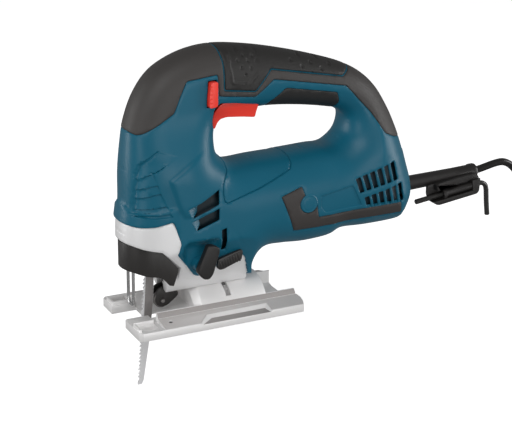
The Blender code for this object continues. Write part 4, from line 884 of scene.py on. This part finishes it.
# ---------------------------------------------------------------- blade, clamp and roller
def blade():
    """A T-shank blade with set teeth and bevelled flanks."""
    top, tip, n = (-47.8, 33.0), (-53.4, -50.0), 27  # the toothed line, and its number of teeth
    front = [(-40.9, 46.5), (-48.0, 46.5), (-48.0, 37), (-47.8, 34)]
    for i in range(n):
        a = Vector(top).lerp(Vector(tip), i / n)
        b = Vector(top).lerp(Vector(tip), (i + 0.8) / n)
        front += [(a.x + 1.5, a.y), (b.x - 0.2, b.y)]
    side = front + [(-53.6, -52), (-50.6, -52), (-49.0, -49), (-44.4, -20), (-40.6, 14), (-40.0, 30),
                    (-40.2, 37)]
    piece = put("saw_blade", prism_bm(side, -0.6, 0.6), BLADE_STEEL, "plunger", 20, replaces=("blade",))
    for v in piece.data.vertices:  # every other tooth leans the other way
        share = (top[1] - v.co.z / MM) / (top[1] - tip[1])
        root = top[0] + (tip[0] - top[0]) * share + 0.6
        if 0 <= share <= 1 and v.co.x / MM < root:
            v.co.y += 0.3 * MM * (1 if int(share * n) % 2 else -1)
    shank = [(-46.1, 33), (-47.4, 12), (-48.2, -4), (-42.6, -4), (-41.0, 12), (-40.2, 28), (-40.2, 33)]
    hollow = [(-43.4, 31), (-44.2, 10), (-43.7, 10), (-42.9, 31)]
    # The darker steel over the blade's upper part is painted shade under the hood and clamp.
    dark = put("blade_shank", prism_bm(shank, -0.68, 0.68), SHANK_STEEL_PAINTED_SHADE, "plunger", 20)
    combine(dark, (CUT, prism_bm(hollow, 0.62, 2)), (CUT, prism_bm(hollow, -2, -0.62)))


def fork():
    """The roller's fork: a rounded black arm with the roller between its cheeks."""
    x, z = -34.6, 13.6
    arm = [(-1.5, -4.4), (-4.7, -2.6), (-5.6, 0.6), (-4.8, 4.2), (-5.2, 7.2), (-2.4, 10.6), (3.0, 11.2),
           (5.0, 14.8), (8.8, 15.0), (9.4, 8.8), (12.0, 5.6), (12.0, 2.8), (8.0, -0.6), (3.2, -4.0)]
    arm = corners_rounded([(x + dx, z + dz) for dx, dz in arm], 2.2)
    piece = put("fork_arm", prism_bm(arm, -4.6, 4.6), BLACK, "roller_fork",
                replaces=("roller_fork",))
    combine(piece, (CUT, box_bm((x - 9, -2.9, z - 9), (x + 6.6, 2.9, z + 30))),
            (CUT, bar_bm((x, -9, z), (x, 9, z), 1.75, 24)))
    rounded(piece, 0.7, 3)
    wheel = [(1.65, 2.4), (5.5, 2.4), (6.0, 2.0), (6.0, 1.05), (5.15, 0.75), (4.9, 0.3)]
    wheel += [(r, -t) for r, t in wheel[::-1]] + wheel[:1]
    put("grooved_roller", turned_bm(wheel, (x, 0, z), (0, 1, 0), 40), ROLLER_STEEL, "guide_roller", 35,
        replaces=("guide_roller",))
    pin = [(0, -5.5), (1.0, -5.5), (1.4, -5.1), (1.4, 5.1), (1.0, 5.5), (0, 5.5)]
    put("pin_round", turned_bm(pin, (x, 0, z), (0, 1, 0), 24), ROLLER_STEEL, "roller_fork", 35,
        replaces=("roller_pin",))


# ---------------------------------------------------------------- controls
def trigger():
    """The trigger, with a pocket for the spring behind it."""
    side = [(2.9, 140.8), (2.2, 147), (3.0, 153), (6.8, 158.4), (12, 160.4), (37.6, 159.4), (37.4, 154.5),
            (36.2, 145.8), (26, 147.2), (13.5, 148.3), (8.6, 147.3), (6.3, 144.8), (4.7, 140.6)]
    piece = put("trigger_key", prism_bm(corners_rounded(side, 1.8), -16, 16), RED, "trigger",
                replaces=("trigger",))
    form = [(-9.6, 138), (9.6, 138), (10.6, 149), (12.6, 155), (13.4, 162), (-13.4, 162), (-12.6, 155),
            (-10.6, 149)]
    combine(piece, (KEEP, prism_bm(form, -20, 60, "YZ")),
            (CUT, bar_bm((17, 0, 155.5), (17, 0, 172), 3.8, 24)))
    return rounded(piece, 1.0, 4)


def lock_button():
    """The ribbed lock-on button on the left side."""
    side = [(-5.6, 159.4), (0.8, 160), (1.0, 177.8), (-4.4, 177.4), (-5.0, 172), (-5.6, 166)]
    piece = put("lock_key", prism_bm(corners_rounded(side, 1.6, 4), -22.6, -12.5), RED, "lock_button",
                replaces=("lock_button",))
    for k in range(5):
        z = 162.6 + 3.0 * k
        combine(piece, (CUT, bar_bm((-6.4, -22.9, z), (-3.4, -22.9, z), 0.55, 12)))
    return rounded(piece, 0.9, 3, 40)


def orbit_lever():
    """The four-position lever: a thick rounded thumb bar on a hub."""
    hub = (-15.0, 47.0)
    arm = [(-12.4, 63.4), (-8.2, 63.2), (-3.4, 60.6), (-3.5, 57.0), (-8.4, 41.2), (-11.4, 37.8), (-15.8, 38.4),
           (-20.2, 43.8), (-19.8, 46.6)]
    piece = put("orbit_thumb", prism_bm(corners_rounded(arm, 1.8, 6), -36.2, -30.2), LEVER_BLACK, "orbit_lever",
                replaces=("orbit_lever",))
    rounded(piece, 1.2, 4, 40)
    put("orbit_hub", bar_bm((hub[0], -30.6, hub[1]), (hub[0], -19, hub[1]), 3.0), BLACK, "orbit_lever",
        35)
    ring = [(3.25, 0), (4.9, 0), (5.6, 10.5), (3.25, 10.5), (3.25, 0)]
    put("lever_boss", turned_bm(ring, (hub[0], -29.6, hub[1]), (0, 1, 0), 40), TEAL, "housing", 35)


def blower_switch():
    """The dust-blower slide with its row of thumb ribs."""
    base = [(-2.2, 42.4), (-1.6, 49.0), (16.6, 54.0), (18.4, 52.6), (17.2, 46.2), (3, 41.0), (0, 40.8)]
    piece = put("blower_slide", prism_bm(corners_rounded(base, 0.8, 3), -29.0, -26.4), BLACK, "blower_switch",
                replaces=("blower_switch",))
    rounded(piece, 0.5, 2)
    along = Vector((18.5, 0, 5)).normalized()
    up = Vector((-along.z, 0, along.x))
    bm = bmesh.new()
    for k in range(8):
        mid = Vector((-0.4, -28.4, 44.6)) + along * (0.8 + 2.15 * k)
        height = 3.1 + 0.05 * k
        v = [bm.verts.new((mid + along * 0.62 * a + up * height * b + Vector((0, 1.1, 0)) * c) * MM)
             for a in (-1, 1) for b in (-1, 1) for c in (-1, 1)]
        for f in ((0, 1, 3, 2), (4, 6, 7, 5), (0, 4, 5, 1), (2, 3, 7, 6), (0, 2, 6, 4), (1, 5, 7, 3)):
            bm.faces.new([v[i] for i in f])
    ribs = put("blower_ribs", bm, BLACK, "blower_switch")
    return rounded(ribs, 0.3, 2)


# ---------------------------------------------------------------- strain relief and key
def strain_relief():
    """The cord's boot, the key's clip under it, and the hex key in the clip."""
    along = (0.9993, 0, 0.0375)
    boot = [(3.25, 62.6), (4.3, 62.6), (5.7, 62.0), (6.1, 60.8), (6.1, 57.2), (5.5, 56.2), (5.4, 40),
            (5.8, 2.5), (5.9, -6), (3.25, -6), (3.25, 62.6)]
    put("boot_sleeve", turned_bm(boot, (177.0, 0, 74.5), along, 48), BOOT_SKIN, "housing", 32,
        replaces=("cord_boot",))
    a, b = Vector((178.5, -9, 61.2)), Vector((240.6, -9, 69.2))
    key_dir = (b - a).normalized()

    side = [(190.0, 72.5), (190.0, 65.5), (192.4, 60.2), (196, 57.4), (199, 57.0), (234, 61.6), (236.2, 63.6),
            (236.6, 75), (234, 77.8), (215, 76)]
    piece = put("key_clip", prism_bm(corners_rounded(side, 1.6, 4), -13.0, -5.4), BOOT_SKIN, "housing",
                replaces=("key_holder",))
    up = Vector((-key_dir.z, 0, key_dir.x))

    def window(t0, t1, lo, hi, y0, y1):
        quad = [a + key_dir * t + up * u for t, u in ((t0, lo), (t1, lo), (t1, hi), (t0, hi))]
        return prism_bm([(p.x, p.z) for p in quad], y0, y1)

    combine(piece, (CUT, bar_bm(a - key_dir * 9, b + key_dir * 9, 2.4, 32)),
            (CUT, window(10.8, 51.8, -3.2, 5.4, -20, -7.6)),
            (CUT, window(10.8, 18.5, -3.2, 12, -20, -7.6)),
            (CUT, window(21.0, 60.0, 5.4, 14, -20, -10.6)))
    sleeve = [(2.35, 0), (4.4, 0), (4.4, 3.0), (3.1, 3.2), (3.1, 28), (2.35, 28), (2.35, 0)]
    combine(piece, (JOIN, turned_bm(sleeve, a + key_dir * 24.6, key_dir, 28)))
    rounded(piece, 0.5, 3)
    key = [tuple(a), tuple(a + key_dir * 30), (232, -9, 68.1), (237, -9, 68.75), (240.2, -9, 68.85),
           (243.0, -9, 67.9), (244.9, -9, 65.6), (245.8, -9, 62.4), (246.2, -9, 58.8), (247.2, -9, 50),
           (248.6, -9, 40.8)]
    fine = open_curve(key, 5)
    ring, rows = circle((0, 0), 2.15, 6), []
    bm = bmesh.new()
    for i, p in enumerate(fine):
        ahead = Vector(fine[min(i + 1, len(fine) - 1)] - fine[max(i - 1, 0)]).normalized()
        side_way = Vector((0, 1, 0))
        top = ahead.cross(side_way)
        rows.append([bm.verts.new((Vector(p) + side_way * u + top * v) * MM) for u, v in ring])
    for lower, upper in zip(rows, rows[1:]):
        for i in range(6):
            bm.faces.new((lower[i], lower[(i + 1) % 6], upper[(i + 1) % 6], upper[i]))
    bm.faces.new(rows[0])
    bm.faces.new(rows[-1][::-1])
    piece = put("hex_wrench", bm, KEY_STEEL, "hex_key", replaces=("hex_key",))
    return rounded(piece, 0.35, 2, 35)


# ---------------------------------------------------------------- foot
def recess_bm(s):
    """The pocket in a rail's outer edge: a flat floor, sloping walls, open to the side."""
    low = [(-22.4, -42), (-7.2, -29.4), (36.6, -29.4), (37.8, -42)]
    high = [(-29.4, -42), (-13.2, -26.2), (41.1, -25.7), (41.8, -42)]
    bm = bmesh.new()
    for z, ring in ((4.8, low), (10.8, high)):
        for x, y in ring:
            bm.verts.new((x * MM, -s * y * MM, z * MM))
    bmesh.ops.convex_hull(bm, input=bm.verts)
    bmesh.ops.recalc_face_normals(bm, faces=bm.faces)
    return bm


def foot():
    """The cast foot: two rails that slope up to a ridge, a floor between them, and a hollow arch to tilt on."""
    plan = [(-63.5, -38), (64.8, -38), (66.6, -33), (67.3, -28), (66.5, -23.5), (65, -19.4), (63.6, -12)]
    plan += [(x, -y) for x, y in plan[:0:-1]]
    plan += [(-63.5, 38), (-66, 35.5), (-66, 17.6), (-47, 17.6), (-47, 5.5), (-28, 5.5), (-28, -5.5),
             (-47, -5.5), (-47, -8), (-64.5, -8), (-66, -9.5), (-66, -35.5)]
    inner = grown(plan, -0.4)
    piece = put("foot_casting", prism_bm(plan, 0, 6.1, "XY"), CAST_FOOT, "foot",
                replaces=("foot_plate",))
    combine(piece, (CUT, box_bm((-48, -20.2, 2.4), (90, 20.2, 30))))

    def along(profile, x0, x1, outline, *cuts):
        """A bar of one profile that keeps inside the plan's outline."""
        tool = cutter(prism_bm(profile, x0, x1, "YZ"))
        return melted(combine(tool, (KEEP, prism_bm(outline, -1, 30, "XY")), *cuts))

    def arc(radius, heights):
        return [(math.sqrt(radius ** 2 - z * z), z) for z in heights]

    rail = [(19.4, 1), (37.9, 1), (37.9, 6.1), (23.1, 8.5), *arc(ARCH_R, (8.5, 9.8, 11.0, 12.1)), (20.2, 12.5),
            (19.4, 12.3)]
    for s in (-1, 1):
        combine(piece, (JOIN, along([(s * y, z) for y, z in rail], -46.5, 80, plan)),
                (CUT, recess_bm(s)))
        lo, hi = sorted((s * 24.6, s * 34.3))
        combine(piece, (CUT, box_bm((-63, lo, 2.8), (-50, hi, 30))))
    arch = cutter(bar_bm((-10, 0, 0), (41.5, 0, 0), ARCH_R, 128))
    lip = [(19.6, 0), (20.6, 0), (23.9, 5.2), (23.9, 6.4), (21.2, 6.4), (19.6, 0)]
    combine(arch, (JOIN, turned_bm(lip, (-15.6, 0, 0), (1, 0, 0), 128)),
            (CUT, box_bm((-90, -60, -60), (90, 60, 1))),
            (CUT, bar_bm((-9.6, 0, 0), (60, 0, 0), 21.4, 96)))
    combine(piece, (JOIN, melted(arch)),
            (CUT, bar_bm((-39, -29, -9), (-39, -29, 12), 1.6, 20)),
            (CUT, box_bm((9.9, -18.7, 10), (14.1, 18.7, 60))),
            (CUT, box_bm((6, -9, -9), (18, 9, 9))))
    for lo, hi in (((-65.2, 18.6, 5), (-63.6, 30.8, 9)), ((-65.2, 18.6, 5), (-52, 20.2, 9)),
                   ((-63.8, 29.2, 5), (-52, 30.8, 9)), ((-65.4, -35, 5), (-63.8, -22.6, 8.6)),
                   ((-65.4, -24.2, 5), (-50, -22.6, 9.2))):
        combine(piece, (JOIN, box_bm(lo, hi)))
    rounded(piece, 0.4, 2, 32)
    for s, name in ((-1, "left"), (1, "right")):  # the rails' tops and walls, and the pockets' floors, are rougher than the foot and darker with painted shade
        top = [(23.3, 8.2), (37.5, 5.9), (37.5, 6.28), (23.3, 8.58)]
        hole = bar_bm((-39, -29, -9), (-39, -29, 30), 1.7, 20)
        put("foot_rail_" + name, along([(s * y, z) for y, z in top], -46.1, 80, inner, (CUT, recess_bm(s)),
                                       (CUT, hole)), CAST_TOP_PAINTED_SHADE, "foot", 40)
        wall = arc(ARCH_R + 0.2, (8.75, 9.8, 11.0, 12.2)) + arc(ARCH_R - 0.2, (12.2, 11.0, 9.8, 8.75))
        put("foot_wall_" + name, along([(s * y, z) for y, z in wall], -46.1, 80, inner), CAST_ROUGH_PAINTED_SHADE, "foot",
            40)
        floor = [(-16.9, -37.6), (-6.9, -29.7), (36.3, -29.7), (37.2, -37.6)]
        put("foot_pocket_" + name, prism_bm([(x, -s * y) for x, y in floor], 4.5, 4.9, "XY"), CAST_ROUGH_PAINTED_SHADE,
            "foot", 40)
    # A dark plug in the rail's hole: painted shade inside the hole.
    put("foot_hole_painted_shade", bar_bm((-39, -29, 4), (-39, -29, 7.1), 1.55, 20), KEY_STEEL, "foot", 40)
    return piece


gear_block()
nose_screw()
hood()
guard()
blade()
fork()
trigger()
lock_button()
orbit_lever()
blower_switch()
strain_relief()
foot()


# ---------------------------------------------------------------- the parts inside, as the CAD made them
FINISH = {
    "steel": ["gear_shaft", "large_gear", "plunger", "blade_clamp", "plunger_guide_low", "bevel_screw",
              "clamp_washer", "armature_shaft", "front_bearing", "rear_bearing", "trigger_spring",
              *(f"housing_screw_{k}" for k in range(1, 6))],
    "black_plastic": ["switch_module", "cord_clamp", "fan"],
    "carbon": ["carbon_brush_left", "carbon_brush_right"],
    "copper": ["commutator"],
    "brass": ["brush_holder_left", "brush_holder_right", "plug_blade_a", "plug_blade_b"],
    "core": ["stator", "armature_core"],
}
METAL = {"steel": STEEL, "black_plastic": BLACK, "carbon": CARBON, "copper": COPPER, "brass": BRASS,
         "core": LAMINATE}
for finish, names in FINISH.items():
    for node in names:
        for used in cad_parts[node].material_slots:
            used.material = METAL[finish]


# ---------------------------------------------------------------- floor, light and world
LAMPS = [  # name, place, aim, size, power in watts
    ("key", (-0.70, -0.85, 1.15), (0.0, 0, 0.08), (0.8, 0.8), 8),
    ("front_rim", (-1.10, 0.70, 0.22), (-0.03, 0, 0.1), (0.30, 0.8), 5),
    ("front_soft", (-1.25, -0.55, 0.25), (-0.03, 0, 0.06), (0.3, 0.6), 2.4),
    ("camera_fill", (0.15, -1.35, 0.10), (0.03, 0, 0.06), (0.9, 0.5), 4.5),
    ("rear_rim", (1.20, -0.42, 0.22), (0.12, 0, 0.1), (0.30, 0.8), 6),
]


def area_light(name, at, aim, size, power):
    """A soft box, aimed at a point."""
    data = bpy.data.lights.new(name, "AREA")
    data.shape, data.size, data.size_y = "RECTANGLE", size[0], size[1]
    data.energy = power
    lamp = bpy.data.objects.new(name, data)
    SCENE.collection.objects.link(lamp)
    lamp.location = Vector(at)
    lamp.rotation_mode = "QUATERNION"
    lamp.rotation_quaternion = (Vector(aim) - Vector(at)).to_track_quat("-Z", "Y")


def stage():
    """A plain white floor that shines a little of its own light, soft boxes and a bright room."""
    bm = bmesh.new()
    bmesh.ops.create_grid(bm, x_segments=2, y_segments=2, size=9)
    mesh = bpy.data.meshes.new("floor")
    bm.to_mesh(mesh)
    bm.free()
    floor = bpy.data.objects.new("floor", mesh)
    SCENE.collection.objects.link(floor)
    floor.location = (0, 0, FLOOR_Z * MM)
    mat = bpy.data.materials.new("floor_white")
    mat.use_nodes = True
    shader = mat.node_tree.nodes["Principled BSDF"]
    shader.inputs["Base Color"].default_value = (0.85, 0.85, 0.85, 1)
    shader.inputs["Roughness"].default_value = 0.9
    shader.inputs["Specular IOR Level"].default_value = 0.0
    shader.inputs["Emission Color"].default_value = (1, 1, 1, 1)
    shader.inputs["Emission Strength"].default_value = 0.75
    floor.data.materials.append(mat)
    floor.visible_diffuse = floor.visible_glossy = floor.visible_shadow = False
    world = bpy.data.worlds.new("room")
    world.use_nodes = True
    world.node_tree.nodes["Background"].inputs[0].default_value = (1, 1, 1, 1)
    world.node_tree.nodes["Background"].inputs[1].default_value = 0.24
    SCENE.world = world
    for lamp in LAMPS:
        area_light(*lamp)
    SCENE.view_settings.view_transform = "Standard"
    SCENE.view_settings.look = "None"


stage()
